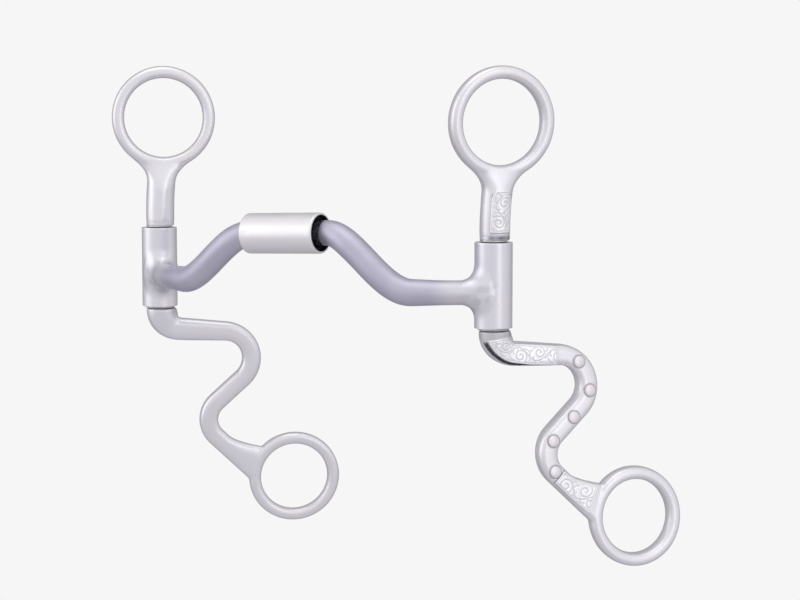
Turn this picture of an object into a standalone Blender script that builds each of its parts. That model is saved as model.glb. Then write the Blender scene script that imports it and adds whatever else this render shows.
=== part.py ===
"""Loose-jaw curb bit: two S-shaped cheeks that swivel on a two-part mouthpiece with a roller.

Frame, in metres: +X runs along the mouthpiece from the left cheek to the right one, +Z runs up
along the cheek sleeves, and -Y is the side to which the mouthpiece is swept. The origin lies
midway between the two sleeve axes, at half the height of the sleeves.

Each cheek is drawn flat, in its own (u, v, w) coordinates: u from the sleeve axis towards the rein
ring, v up along the sleeve, w out of the bit, away from the mouthpiece.
"""

import math

import bmesh
import bpy
from mathutils import Vector

MM = 0.001
GAP = 0.3 * MM  # clearance between solids that meet
TURN = 2.0 * math.pi

# Mouthpiece
HALF_SPAN = 70.5 * MM  # from the middle to a sleeve axis
SWEEP = 20.0 * MM  # how far the roller lies in front of the sleeve axes
PORT_HEIGHT = 16.2 * MM  # roller axis above the middle of the sleeves
PORT_TILT = math.radians(2.3)  # the roller's right end sits a little higher
ROOT_HEIGHT = -2.4 * MM  # height at which a cannon meets its sleeve
PORT_INNER = 16.0 * MM  # the cannon starts to fall here, counted from the middle
PORT_OUTER = 47.5 * MM  # and is level again here
CANNON_RADIUS = 4.75 * MM
CANNON_ROOT_RADIUS = 4.2 * MM
CANNON_INNER_END = 0.5 * MM
CANNON_WAIST = 0.35 * MM  # a cannon is this much slimmer, and set back, where it leaves the roller
CANNON_SET_BACK = 1.0 * MM
WAIST_START = 12.0 * MM
WAIST_MIDDLE = 16.0 * MM
WAIST_END = 26.0 * MM
FLANGE_RADIUS = 5.75 * MM
FLANGE_END = 2.5 * MM
CANNON_STEPS = 24
CANNON_SIDES = 16

# Roller, its bushings and the pin that lines the two cannons up
ROLLER_HALF_LENGTH = 15.0 * MM
ROLLER_SHIFT = -1.0 * MM  # it has slid a little to the left along its bushings
ROLLER_RADIUS = 7.1 * MM
ROLLER_BORE = 6.25 * MM
ROLLER_CHAMFER = 1.0 * MM
BUSHING_INNER_END = FLANGE_END + GAP
BUSHING_OUTER_END = 12.6 * MM
CENTRE_PIN_RADIUS = 2.5 * MM
CENTRE_PIN_HALF_LENGTH = 9.5 * MM

# Sleeve, swivel pin and washers
SLEEVE_RADIUS = 6.5 * MM
SLEEVE_HALF_HEIGHT = 14.6 * MM
SLEEVE_CHAMFER = 0.5 * MM
SWIVEL_PIN_RADIUS = 3.0 * MM
UPPER_WASHER = (4.7 * MM, 1.0 * MM)  # radius and thickness; it sits back under the neck
LOWER_WASHER = (5.4 * MM, 0.3 * MM)
UPPER_START = SLEEVE_HALF_HEIGHT + GAP + UPPER_WASHER[1] + GAP
LOWER_START = SLEEVE_HALF_HEIGHT + GAP + LOWER_WASHER[1] + GAP
PURCHASE_POCKET = 6.0 * MM
SHANK_POCKET = 4.6 * MM
FILLET_RADIUS = 4.0 * MM
FILLET_HALF_WIDTH = 6.2 * MM
FILLET_WALL = 0.4 * MM

# Cheek, upper part: neck and headstall ring
NECK_RADIUS = 5.2 * MM
NECK_U = 0.4 * MM
LEAN_START = 19.0 * MM
NECK_STRAIGHT_TOP = 28.0 * MM
NECK_TOP = 40.3 * MM
NECK_SPREAD = 7.6 * MM  # extra half width of the neck where it opens into the ring
HEADSTALL_CENTRE = (2.1 * MM, 55.1 * MM)
HEADSTALL_HOLE = 14.5 * MM
UPPER_FLARE = math.radians(2.2)

# Cheek, lower part: S-shaped bar and rein ring
STUB_U = 0.6 * MM
STUB_DROP = 1.6 * MM
ELBOW_RADIUS = 6.5 * MM
LEVEL_SLOPE = math.radians(3.8)  # the level part falls away a little from the sleeve
ELBOW_TURN = math.radians(90.0) - LEVEL_SLOPE
LEVEL_LENGTH = 17.70 * MM
BACK_TURN_RADIUS = 10.5 * MM
BACK_TURN = math.radians(137.4) - LEVEL_SLOPE
MIDDLE_LENGTH = 13.14 * MM
FRONT_TURN_RADIUS = 9.3 * MM
FRONT_TURN = math.radians(93.4)
TAIL_LENGTH = 20.6 * MM
TAIL_END_LENGTH = 1.3 * MM
REIN_CENTRE = (50.7 * MM, -81.8 * MM)
REIN_HOLE = 12.75 * MM
LOWER_FLARE = math.radians(6.3)
BAR_HALF_WIDTH = 4.2 * MM
BAR_WAIST_HALF_WIDTH = 3.5 * MM
BAR_WAIST_FROM = 9.0 * MM
BAR_WAIST_TO = 36.0 * MM
BAR_HALF_THICKNESS = 3.6 * MM
WEB_START = 4.0 * MM  # along the tail, where the bar starts to widen towards the rein ring
WEB_END = 15.0 * MM
WEB_SPREAD = 5.1 * MM
WEB_TUCK = 19.3 * MM  # past here the web stays behind the wall of the rein ring's hole
BAR_END_HALF_THICKNESS = 2.8 * MM
STUB_HALF_WIDTH = 5.6 * MM
STUB_HALF_THICKNESS = 5.1 * MM
BAR_SIDES = 16
PATH_STEP = 2.6 * MM  # between stations on a bend
STRAIGHT_STEP = 7.0 * MM  # between stations on a straight

# Rings
RING_WIDTH = 4.5 * MM
RING_HALF_THICKNESS = 2.9 * MM
RING_EDGE = 1.3 * MM
RING_SEGMENTS = 36

# Overlays and studs on the outer face of each cheek
PLATE_THICKNESS = 0.7 * MM
NECK_PLATE_BOTTOM = 18.0 * MM
NECK_PLATE_TOP = 32.2 * MM
NECK_PLATE_HALF_ANGLE = math.radians(40.0)
LEVEL_PLATE_RADIUS = 9.1 * MM  # of its lower left edge, about the centre of the elbow
LEVEL_PLATE_LENGTH = 15.5 * MM  # past the elbow
PLATE_MARGIN = 0.5 * MM  # the bar shows this much beside a plate
REIN_PLATE_START = 0.8 * MM  # along the tail
REIN_PLATE_END = 14.6 * MM
FIRST_STUD = 6.5 * MM  # past the start of the back turn
LAST_STUD = 1.5 * MM  # before the end of the front turn
STUD_COUNT = 5
STUD_RADIUS = 2.1 * MM
STUD_HEIGHT = 1.2 * MM
STUD_SIDES = 12

# How far each cheek is swivelled at rest, from +X towards +Y
SIDES = {
    "left": {"sign": -1.0, "swivel": math.radians(40.2)},
    "right": {"sign": 1.0, "swivel": math.radians(51.6)},
}

# Colour, roughness and metallic value of each finish
FINISHES = {
    "stainless": ((0.78, 0.77, 0.80, 1.0), 0.32, 1.0),
    "sweet_iron": ((0.36, 0.35, 0.44, 1.0), 0.38, 1.0),
    "silver_overlay": ((0.84, 0.83, 0.86, 1.0), 0.22, 1.0),
    "weld": ((0.66, 0.65, 0.69, 1.0), 0.40, 1.0),
    "dark_bushing": ((0.02, 0.02, 0.022, 1.0), 0.55, 0.0),
    "pin_steel": ((0.50, 0.50, 0.52, 1.0), 0.35, 1.0),
}


def clear_scene():
    """Remove every object, so that only the bit is left in the file."""
    for old in list(bpy.data.objects):
        bpy.data.objects.remove(old, do_unlink=True)


def smoothstep(value):
    """Ease from 0 to 1 while value goes from 0 to 1."""
    t = min(max(value, 0.0), 1.0)
    return t * t * (3.0 - 2.0 * t)


def mix(start, end, share):
    """Blend two numbers: start at share 0, end at share 1."""
    return start + (end - start) * share


def make_material(name, finish):
    """Give a sub-part its own Principled material in one of the finishes."""
    colour, roughness, metallic = FINISHES[finish]
    material = bpy.data.materials.new(name)
    material.use_nodes = True
    shader = material.node_tree.nodes["Principled BSDF"]
    shader.inputs["Base Color"].default_value = colour
    shader.inputs["Roughness"].default_value = roughness
    shader.inputs["Metallic"].default_value = metallic
    material.diffuse_color = colour
    return material


def make_object(name, mesh_data, finish, parent=None):
    """Turn a bmesh into a named object with its own material."""
    bmesh.ops.remove_doubles(mesh_data, verts=mesh_data.verts, dist=1e-7)
    bmesh.ops.recalc_face_normals(mesh_data, faces=mesh_data.faces)
    mesh = bpy.data.meshes.new(name)
    mesh_data.to_mesh(mesh)
    mesh_data.free()
    mesh.shade_smooth()
    mesh.set_sharp_from_angle(angle=math.radians(35.0))
    obj = bpy.data.objects.new(name, mesh)
    bpy.context.collection.objects.link(obj)
    if finish:
        mesh.materials.append(make_material(name + "_finish", finish))
    else:
        obj.hide_render = True
        obj.display_type = "WIRE"
    obj.parent = parent
    return obj


def make_axis(name, location, angle=0.0):
    """Place an empty on a joint axis, turned about +Z."""
    axis = bpy.data.objects.new(name, None)
    bpy.context.collection.objects.link(axis)
    axis.location = location
    axis.rotation_euler = (0.0, 0.0, angle)
    return axis


def add_boolean(target, tool, operation):
    """Cut a helper solid from a piece, or join it to the piece."""
    modifier = target.modifiers.new(operation.lower(), "BOOLEAN")
    modifier.operation = operation
    modifier.solver = "EXACT"
    modifier.object = tool


def loft(rings, closed=False):
    """Skin rings of equally many points; an open skin gets a flat cap at each end."""
    mesh_data = bmesh.new()
    rows = [[mesh_data.verts.new(point) for point in ring] for ring in rings]
    count = len(rows[0])
    pairs = list(zip(rows, rows[1:]))
    if closed:
        pairs.append((rows[-1], rows[0]))
    for near, far in pairs:
        for k in range(count):
            after = (k + 1) % count
            mesh_data.faces.new((near[k], near[after], far[after], far[k]))
    if not closed:
        mesh_data.faces.new(rows[0])
        mesh_data.faces.new(rows[-1])
    return mesh_data


def turned_ring(profile, place, segments):
    """Turn a closed (radius, height) profile about an axis; place maps (x, y, height)."""
    rings = []
    for k in range(segments):
        angle = TURN * k / segments
        rings.append([place(r * math.cos(angle), r * math.sin(angle), h) for r, h in profile])
    return loft(rings, closed=True)


def turned_bar(profile, place, segments):
    """Turn an open (radius, height) profile into a solid with flat ends."""
    rings = []
    for r, h in profile:
        angles = [TURN * k / segments for k in range(segments)]
        rings.append([place(r * math.cos(a), r * math.sin(a), h) for a in angles])
    return loft(rings)


def along_z(x, y, height):
    """Place a turned piece upright on the axis of its parent."""
    return Vector((x, y, height))


def along_roller(x, y, height):
    """Place a turned piece on the roller axis, with its height along +X."""
    return Vector((height, x, y))


def oval(half_width, half_thickness, squareness, count):
    """Points (across, through) of a superellipse; squareness 2 is a plain ellipse."""
    points = []
    power = 2.0 / squareness
    for k in range(count):
        c = math.cos(TURN * k / count)
        s = math.sin(TURN * k / count)
        across = half_width * math.copysign(abs(c) ** power, c)
        through = half_thickness * math.copysign(abs(s) ** power, s)
        points.append((across, through))
    return points


# ---------------------------------------------------------------- cheek coordinates


def flare_offset(v):
    """How far the cheek leans out of the bit at height v."""
    bend_length = 6.0 * MM
    slope = math.tan(UPPER_FLARE if v > 0.0 else LOWER_FLARE)
    beyond = max(abs(v) - (UPPER_START if v > 0.0 else LOWER_START), 0.0)
    if beyond < bend_length:
        return slope * beyond * beyond / (2.0 * bend_length)
    return slope * (beyond - bend_length / 2.0)


class Cheek:
    """One cheek's coordinates: turns (u, v, w) into the frame of its swivel axis."""

    def __init__(self, side):
        """Take the side's name and place the empty that its pieces hang from."""
        self.side = side
        self.sign = SIDES[side]["sign"]
        self.axis = make_axis(
            side + "_swivel_axis", (self.sign * HALF_SPAN, 0.0, 0.0), SIDES[side]["swivel"]
        )

    def point(self, u, v, w):
        """Place a point of the flat drawing, with the cheek's flare."""
        return Vector((u, -self.sign * (w + flare_offset(v)), v))

    def name(self, piece):
        """Name a piece of this cheek."""
        return self.side + "_" + piece


def trace_shank():
    """Centreline of the S-shaped bar as (u, v, heading, distance) stations."""
    u, v, heading, distance = STUB_U, -LOWER_START, -math.pi / 2.0, 0.0
    moves = [
        (STUB_DROP, 0.0, STRAIGHT_STEP),
        (ELBOW_RADIUS * ELBOW_TURN, ELBOW_TURN, PATH_STEP),
        (LEVEL_LENGTH, 0.0, STRAIGHT_STEP),
        (BACK_TURN_RADIUS * BACK_TURN, -BACK_TURN, PATH_STEP),
        (MIDDLE_LENGTH, 0.0, STRAIGHT_STEP),
        (FRONT_TURN_RADIUS * FRONT_TURN, FRONT_TURN, PATH_STEP),
        (TAIL_LENGTH - TAIL_END_LENGTH, 0.0, PATH_STEP),
        (TAIL_END_LENGTH, 0.0, STRAIGHT_STEP),
    ]
    stations = [(u, v, heading, distance)]
    for length, bend, step in moves:
        steps = max(1, round(length / step))
        for _ in range(steps):
            part = length / steps
            turn = bend / steps
            chord = part if not bend else 2.0 * (length / abs(bend)) * math.sin(abs(turn) / 2.0)
            u += chord * math.cos(heading + turn / 2.0)
            v += chord * math.sin(heading + turn / 2.0)
            heading += turn
            distance += part
            stations.append((u, v, heading, distance))
    return stations


SHANK = trace_shank()
SHANK_LENGTH = SHANK[-1][3]
STUB_END = 11.0 * MM
WAIST_AT = 0.62 * SHANK_LENGTH


def shank_station(distance):
    """Centreline point and heading at a distance from the sleeve."""
    for near, far in zip(SHANK, SHANK[1:]):
        if distance <= far[3]:
            share = (distance - near[3]) / (far[3] - near[3])
            return tuple(mix(a, b, share) for a, b in zip(near[:3], far[:3]))
    return SHANK[-1][:3]


def shank_half_width(distance):
    """Half width of the bar below its centreline: wide at the stub, narrowest at the waist."""
    base = mix(STUB_HALF_WIDTH, BAR_HALF_WIDTH, smoothstep(distance / STUB_END))
    waist = smoothstep((distance - BAR_WAIST_FROM) / (BAR_WAIST_TO - BAR_WAIST_FROM))
    return base - (BAR_HALF_WIDTH - BAR_WAIST_HALF_WIDTH) * waist


def web_spread(distance):
    """Extra half width above the centreline, for the web in the crotch at the rein ring."""
    along_tail = distance - (SHANK_LENGTH - TAIL_LENGTH)
    share = (along_tail - WEB_START) / (WEB_END - WEB_START)
    spread = WEB_SPREAD * min(max(share, 0.0), 1.0) ** 2.2
    return 0.0 if along_tail > WEB_TUCK + 0.2 * MM else spread


def shank_half_thickness(distance):
    """Half thickness of the bar, from the round stub to the rein ring."""
    base = mix(STUB_HALF_THICKNESS, BAR_HALF_THICKNESS, smoothstep(distance / STUB_END))
    thinning = smoothstep((distance - WAIST_AT) / (SHANK_LENGTH - WAIST_AT))
    return base - (BAR_HALF_THICKNESS - BAR_END_HALF_THICKNESS) * thinning


def outline_ring(cheek, station, section):
    """Place a section's (across, through) points square to the centreline."""
    u, v, heading = station
    left = (-math.sin(heading), math.cos(heading))
    return [cheek.point(u + a * left[0], v + a * left[1], t) for a, t in section]


def ring_blank(cheek, name, centre, hole_radius):
    """Helper solid: a ring with flat sides, flat walls and broken edges."""
    half = RING_HALF_THICKNESS
    outer = hole_radius + RING_WIDTH
    profile = [
        (hole_radius, -half + RING_EDGE),
        (hole_radius + RING_EDGE, -half),
        (outer - RING_EDGE, -half),
        (outer, -half + RING_EDGE),
        (outer, half - RING_EDGE),
        (outer - RING_EDGE, half),
        (hole_radius + RING_EDGE, half),
        (hole_radius, half - RING_EDGE),
    ]

    def place(x, y, height):
        return cheek.point(centre[0] + x, centre[1] + y, height)

    return make_object(name, turned_ring(profile, place, RING_SEGMENTS), None, cheek.axis)


def pocket_cutter(cheek, name, start, depth):
    """Helper solid: the blind hole that takes an end of the swivel pin."""
    direction = math.copysign(1.0, start)
    radius = SWIVEL_PIN_RADIUS + GAP
    profile = [
        (radius, start - direction * 2.0 * MM),
        (radius, start + direction * depth),
    ]
    return make_object(name, turned_bar(profile, along_z, 20), None, cheek.axis)


# ---------------------------------------------------------------- pieces of one cheek


def neck_centre(v):
    """Sideways place of the neck at height v: it leans towards the middle of the ring."""
    share = min(max((v - LEAN_START) / (NECK_TOP - LEAN_START), 0.0), 1.0)
    return mix(NECK_U, HEADSTALL_CENTRE[0], share)


def build_purchase(cheek):
    """Neck with the headstall ring on top, bored from below for the swivel pin."""
    heights = [UPPER_START, UPPER_START + 0.5 * MM, LEAN_START]
    heights += [mix(LEAN_START, NECK_STRAIGHT_TOP, k / 3.0) for k in (1, 2, 3)]
    flare_steps = 6
    rings = []
    for k in range(1, flare_steps + 1):
        heights.append(mix(NECK_STRAIGHT_TOP, NECK_TOP, k / flare_steps))
    for v in heights:
        share = max(v - NECK_STRAIGHT_TOP, 0.0) / (NECK_TOP - NECK_STRAIGHT_TOP)
        edge = 0.4 * MM if v == UPPER_START else 0.0
        half_width = NECK_RADIUS + NECK_SPREAD * share ** 1.8 - edge
        half_thickness = mix(NECK_RADIUS, RING_HALF_THICKNESS - 0.15 * MM, smoothstep(share)) - edge
        section = oval(half_width, half_thickness, mix(2.0, 3.0, share), BAR_SIDES)
        rings.append([cheek.point(neck_centre(v) + a, v, t) for a, t in section])
    purchase = make_object(cheek.name("purchase"), loft(rings), "stainless", cheek.axis)
    ring = ring_blank(cheek, cheek.name("headstall_ring_blank"), HEADSTALL_CENTRE, HEADSTALL_HOLE)
    add_boolean(purchase, ring, "UNION")
    pocket = pocket_cutter(cheek, cheek.name("purchase_pocket"), UPPER_START, PURCHASE_POCKET)
    add_boolean(purchase, pocket, "DIFFERENCE")


def build_shank(cheek):
    """S-shaped lower bar that ends in the rein ring, bored from above for the swivel pin."""
    rings = []
    for u, v, heading, distance in SHANK:
        squareness = mix(2.0, 3.6, smoothstep(distance / STUB_END))
        half_width = shank_half_width(distance)
        widening = (half_width + web_spread(distance)) / half_width
        section = oval(half_width, shank_half_thickness(distance), squareness, BAR_SIDES)
        section = [(a * widening if a > 0.0 else a, t) for a, t in section]
        rings.append(outline_ring(cheek, (u, v, heading), section))
    shank = make_object(cheek.name("shank"), loft(rings), "stainless", cheek.axis)
    ring = ring_blank(cheek, cheek.name("rein_ring_blank"), REIN_CENTRE, REIN_HOLE)
    add_boolean(shank, ring, "UNION")
    pocket = pocket_cutter(cheek, cheek.name("shank_pocket"), -LOWER_START, SHANK_POCKET)
    add_boolean(shank, pocket, "DIFFERENCE")


def build_swivel(cheek):
    """Swivel pin through the sleeve, and the washers above and below the sleeve."""
    edge = 0.4 * MM
    top = UPPER_START + PURCHASE_POCKET - GAP
    bottom = -LOWER_START - SHANK_POCKET + GAP
    radius = SWIVEL_PIN_RADIUS
    profile = [(radius - edge, bottom), (radius, bottom + edge), (radius, top - edge), (radius - edge, top)]
    make_object(cheek.name("swivel_pin"), turned_bar(profile, along_z, 20), "pin_steel", cheek.axis)
    low = SLEEVE_HALF_HEIGHT + GAP
    inner = SWIVEL_PIN_RADIUS + GAP
    for place_name, direction, washer in (("upper", 1.0, UPPER_WASHER), ("lower", -1.0, LOWER_WASHER)):
        outer, thickness = washer
        near = direction * low
        far = direction * (low + thickness)
        section = [(inner, near), (outer, near), (outer, far), (inner, far)]
        mesh_data = turned_ring(section, along_z, 20)
        make_object(cheek.name(place_name + "_washer"), mesh_data, "pin_steel", cheek.axis)


def build_neck_plate(cheek):
    """Engraved overlay that hugs the outer side of the neck."""
    inner = NECK_RADIUS + GAP
    outer = inner + PLATE_THICKNESS
    arc_steps = 6
    length_steps = 6
    rings = []
    for row in range(length_steps + 1):
        share = row / length_steps
        v = mix(NECK_PLATE_BOTTOM, NECK_PLATE_TOP, share)
        half_angle = NECK_PLATE_HALF_ANGLE * (1.0 - 0.55 * max(share - 0.75, 0.0) * 4.0)
        angles = [mix(-half_angle, half_angle, k / arc_steps) for k in range(arc_steps + 1)]
        centre = neck_centre(v)
        ring = [cheek.point(centre + outer * math.sin(a), v, outer * math.cos(a)) for a in angles]
        back = reversed(angles)
        ring += [cheek.point(centre + inner * math.sin(a), v, inner * math.cos(a)) for a in back]
        rings.append(ring)
    make_object(cheek.name("neck_overlay"), loft(rings), "silver_overlay", cheek.axis)


def build_plate(cheek, piece, edges):
    """Flat overlay on the bar's outer face, lofted between pairs of (u, v, height) edge points."""
    rings = []
    for upper, lower in edges:
        ring = [cheek.point(u, v, w + PLATE_THICKNESS) for u, v, w in (upper, lower)]
        ring += [cheek.point(u, v, w) for u, v, w in (lower, upper)]
        rings.append(ring)
    make_object(cheek.name(piece), loft(rings), "silver_overlay", cheek.axis)


def elbow_lift(u, v):
    """Height of a plate over the bar's axis plane at a point of the elbow or of the level part."""
    turned = math.atan2(-LOWER_START - STUB_DROP - v, STUB_U + ELBOW_RADIUS - u)
    share = min(max(turned / ELBOW_TURN, 0.0), 1.0)
    return shank_half_thickness(STUB_DROP + ELBOW_RADIUS * ELBOW_TURN * share) + GAP


def build_level_plate(cheek):
    """Plate along the level part: an arc round the elbow on the left, square on the right."""
    centre_u = STUB_U + ELBOW_RADIUS
    centre_v = -LOWER_START - STUB_DROP
    floor = centre_v - ELBOW_RADIUS
    top_left = centre_v - 1.3 * MM
    elbow_end = STUB_DROP + ELBOW_RADIUS * ELBOW_TURN
    top_right = floor + shank_half_width(elbow_end) - PLATE_MARGIN
    arc_steps = 7
    edges = []
    for k in range(arc_steps + 1):
        angle = mix(math.radians(188.0), math.radians(270.0), k / arc_steps)
        u = centre_u + LEVEL_PLATE_RADIUS * math.cos(angle)
        low = centre_v + LEVEL_PLATE_RADIUS * math.sin(angle) - 0.5 * MM * k / arc_steps
        upper = max(mix(top_left, top_right, smoothstep(k / arc_steps)), low + 0.3 * MM)
        edges.append(((u, upper, elbow_lift(u, upper)), (u, low, elbow_lift(u, low))))
    for past in (4.0 * MM, 10.0 * MM, LEVEL_PLATE_LENGTH):
        u = centre_u + past
        middle = floor - past * math.tan(LEVEL_SLOPE)
        half = shank_half_width(elbow_end + past) - PLATE_MARGIN
        lift = BAR_HALF_THICKNESS + GAP
        edges.append(((u, middle + half, lift), (u, middle - half, lift)))
    build_plate(cheek, "level_overlay", edges)


def build_rein_plate(cheek):
    """Fan-shaped plate on the tail and the web, up to the rein ring."""
    edges = []
    steps = 5
    for k in range(steps + 1):
        along = mix(REIN_PLATE_START, REIN_PLATE_END, k / steps)
        distance = SHANK_LENGTH - TAIL_LENGTH + along
        u, v, heading = shank_station(distance)
        left = (-math.sin(heading), math.cos(heading))
        half_width = shank_half_width(distance) - PLATE_MARGIN
        above = half_width + web_spread(distance) * 0.92
        below = half_width
        lift = shank_half_thickness(distance) + GAP
        edges.append(
            (
                (u + above * left[0], v + above * left[1], lift),
                (u - below * left[0], v - below * left[1], lift),
            )
        )
    build_plate(cheek, "rein_overlay", edges)


def stud_distances():
    """Distances along the bar at which the studs sit: evenly round the S."""
    first = STUB_DROP + ELBOW_RADIUS * ELBOW_TURN + LEVEL_LENGTH + FIRST_STUD
    last = SHANK_LENGTH - TAIL_LENGTH - LAST_STUD
    return [mix(first, last, k / (STUD_COUNT - 1)) for k in range(STUD_COUNT)]


def build_studs(cheek):
    """Domed studs along the outer face of the bar."""
    for number, distance in enumerate(stud_distances(), start=1):
        u, v, _ = shank_station(distance)
        base = shank_half_thickness(distance) + GAP
        profile = [
            (STUD_RADIUS, 0.0),
            (0.93 * STUD_RADIUS, 0.45 * STUD_HEIGHT),
            (0.62 * STUD_RADIUS, 0.84 * STUD_HEIGHT),
            (0.2 * STUD_RADIUS, STUD_HEIGHT),
        ]

        def place(x, y, height):
            return cheek.point(u + x, v + y, base + height)

        mesh_data = turned_bar(profile, place, STUD_SIDES)
        make_object(cheek.name("stud_%d" % number), mesh_data, "silver_overlay", cheek.axis)


# ---------------------------------------------------------------- mouthpiece


def waist(x):
    """Share of the cannon's waist at a distance x from the middle: 1 where it leaves the roller."""
    into = smoothstep((x - WAIST_START) / (WAIST_MIDDLE - WAIST_START))
    return into * smoothstep((WAIST_END - x) / (WAIST_END - WAIST_MIDDLE))


def cannon_point(x, sign):
    """Centreline of a cannon at a distance x from the middle of the mouthpiece."""
    reach = max(x - ROLLER_HALF_LENGTH, 0.0) / (HALF_SPAN - ROLLER_HALF_LENGTH)
    y = -SWEEP * (1.0 - reach ** 3) + CANNON_SET_BACK * waist(x)
    rise = smoothstep((PORT_OUTER - x) / (PORT_OUTER - PORT_INNER))
    tilt = sign * x * math.tan(PORT_TILT) * rise
    return Vector((sign * x, y, mix(ROOT_HEIGHT, PORT_HEIGHT, rise) + tilt))


def cannon_radius(x):
    """Radius of a cannon, a little slimmer at the roller's ends and at the sleeve."""
    radius = mix(CANNON_RADIUS, CANNON_ROOT_RADIUS, smoothstep((x - 42.0 * MM) / (18.0 * MM)))
    return radius - CANNON_WAIST * waist(x)


def cannon_rings(stations, sign):
    """Round sections square to the centreline, for (distance, radius) stations."""
    rings = []
    step = 0.2 * MM
    for x, radius in stations:
        tangent = (cannon_point(x + step, sign) - cannon_point(x - step, sign)).normalized()
        up = (Vector((0.0, 0.0, 1.0)) - tangent * tangent.z).normalized()
        side = tangent.cross(up)
        centre = cannon_point(x, sign)
        ring = []
        for k in range(CANNON_SIDES):
            angle = TURN * k / CANNON_SIDES
            ring.append(centre + radius * (math.cos(angle) * up + math.sin(angle) * side))
        rings.append(ring)
    return rings


def sleeve_cutter(side, sign):
    """Helper solid: the space of the sleeve, with clearance."""
    radius = SLEEVE_RADIUS + GAP

    def place(x, y, height):
        return Vector((sign * HALF_SPAN + x, y, height))

    profile = [(radius, -2.0 * SLEEVE_HALF_HEIGHT), (radius, 2.0 * SLEEVE_HALF_HEIGHT)]
    return make_object(side + "_sleeve_space", turned_bar(profile, place, 40), None)


def build_cannon(side, sign, sleeve_space):
    """One arm of the mouthpiece, with a flange inside the roller."""
    stations = [
        (CANNON_INNER_END, FLANGE_RADIUS),
        (FLANGE_END, FLANGE_RADIUS),
        (FLANGE_END + 0.01 * MM, CANNON_RADIUS),
    ]
    for k in range(CANNON_STEPS + 1):
        x = mix(WAIST_START - 0.2 * MM, HALF_SPAN - 0.5 * MM, k / CANNON_STEPS)
        stations.append((x, cannon_radius(x)))
    cannon = make_object(side + "_cannon", loft(cannon_rings(stations, sign)), "sweet_iron")
    add_boolean(cannon, sleeve_space, "DIFFERENCE")
    radius = CENTRE_PIN_RADIUS + GAP
    reach = CENTRE_PIN_HALF_LENGTH + GAP

    def place(x, y, height):
        along = sign * height
        c, s = math.cos(PORT_TILT), math.sin(PORT_TILT)
        return Vector((along * c - y * s, x - SWEEP, PORT_HEIGHT + along * s + y * c))

    profile = [(radius, -1.0 * MM), (radius, reach)]
    bore = make_object(side + "_cannon_bore", turned_bar(profile, place, 20), None)
    add_boolean(cannon, bore, "DIFFERENCE")


def build_sleeve(side, sign):
    """Tube that the cheek's swivel pin turns in."""
    inner = SWIVEL_PIN_RADIUS + GAP
    half = SLEEVE_HALF_HEIGHT
    edge = SLEEVE_CHAMFER
    profile = [
        (inner, -half),
        (SLEEVE_RADIUS - edge, -half),
        (SLEEVE_RADIUS, -half + edge),
        (SLEEVE_RADIUS, half - edge),
        (SLEEVE_RADIUS - edge, half),
        (inner, half),
    ]

    def place(x, y, height):
        return Vector((sign * HALF_SPAN + x, y, height))

    make_object(side + "_sleeve", turned_ring(profile, place, 32), "stainless")


def build_weld_fillet(side, sign, sleeve_space):
    """Trumpet-shaped weld between a cannon and its sleeve."""
    root = cannon_point(HALF_SPAN, sign)
    inward = (cannon_point(HALF_SPAN - 1.0 * MM, sign) - root).normalized()
    up = Vector((0.0, 0.0, 1.0))
    across = inward.cross(up)
    tip_radius = CANNON_ROOT_RADIUS + GAP + FILLET_WALL
    tip_at = SLEEVE_RADIUS + FILLET_RADIUS
    stations = [(3.5 * MM, 1.0)]
    arc_steps = 5
    for k in range(arc_steps + 1):
        angle = math.pi / 2.0 * (1.0 - k / arc_steps)
        stations.append((tip_at - FILLET_RADIUS * math.sin(angle), 1.0 - math.cos(angle)))
    rings = []
    for distance, share in stations:
        tall = tip_radius + FILLET_RADIUS * share
        wide = mix(tip_radius, FILLET_HALF_WIDTH, share)
        centre = root + inward * distance
        section = oval(tall, wide, 2.0, 24)
        rings.append([centre + up * a + across * t for a, t in section])
    fillet = make_object(side + "_weld_fillet", loft(rings), "weld")
    add_boolean(fillet, sleeve_space, "DIFFERENCE")
    stations = []
    for k in range(6):
        x = mix(HALF_SPAN - 14.0 * MM, HALF_SPAN - 0.5 * MM, k / 5.0)
        stations.append((x, cannon_radius(x) + GAP))
    bore = make_object(side + "_fillet_bore", loft(cannon_rings(stations, sign)), None)
    add_boolean(fillet, bore, "DIFFERENCE")


def build_roller():
    """Roller tube with its two dark bushings, and the pin that lines up the cannons."""
    axis = make_axis("roller_axis", (0.0, -SWEEP, PORT_HEIGHT))
    axis.rotation_euler = (0.0, -PORT_TILT, 0.0)
    half = ROLLER_HALF_LENGTH
    edge = ROLLER_CHAMFER
    profile = [
        (ROLLER_BORE, -half),
        (ROLLER_RADIUS - 0.5 * edge, -half),
        (ROLLER_RADIUS, -half + edge),
        (ROLLER_RADIUS, half - edge),
        (ROLLER_RADIUS - 0.5 * edge, half),
        (ROLLER_BORE, half),
    ]
    profile = [(radius, height + ROLLER_SHIFT) for radius, height in profile]
    make_object("roller", turned_ring(profile, along_roller, 40), "stainless", axis)
    inner = CANNON_RADIUS + GAP
    outer = ROLLER_BORE - GAP
    for side, values in SIDES.items():
        near = values["sign"] * BUSHING_INNER_END
        far = values["sign"] * BUSHING_OUTER_END
        section = [(inner, near), (outer, near), (outer, far), (inner, far)]
        mesh_data = turned_ring(section, along_roller, 28)
        make_object(side + "_bushing", mesh_data, "dark_bushing", axis)
    tip = 0.4 * MM
    radius = CENTRE_PIN_RADIUS
    reach = CENTRE_PIN_HALF_LENGTH
    profile = [(radius - tip, -reach), (radius, -reach + tip), (radius, reach - tip), (radius - tip, reach)]
    make_object("centre_pin", turned_bar(profile, along_roller, 20), "pin_steel", axis)


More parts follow.
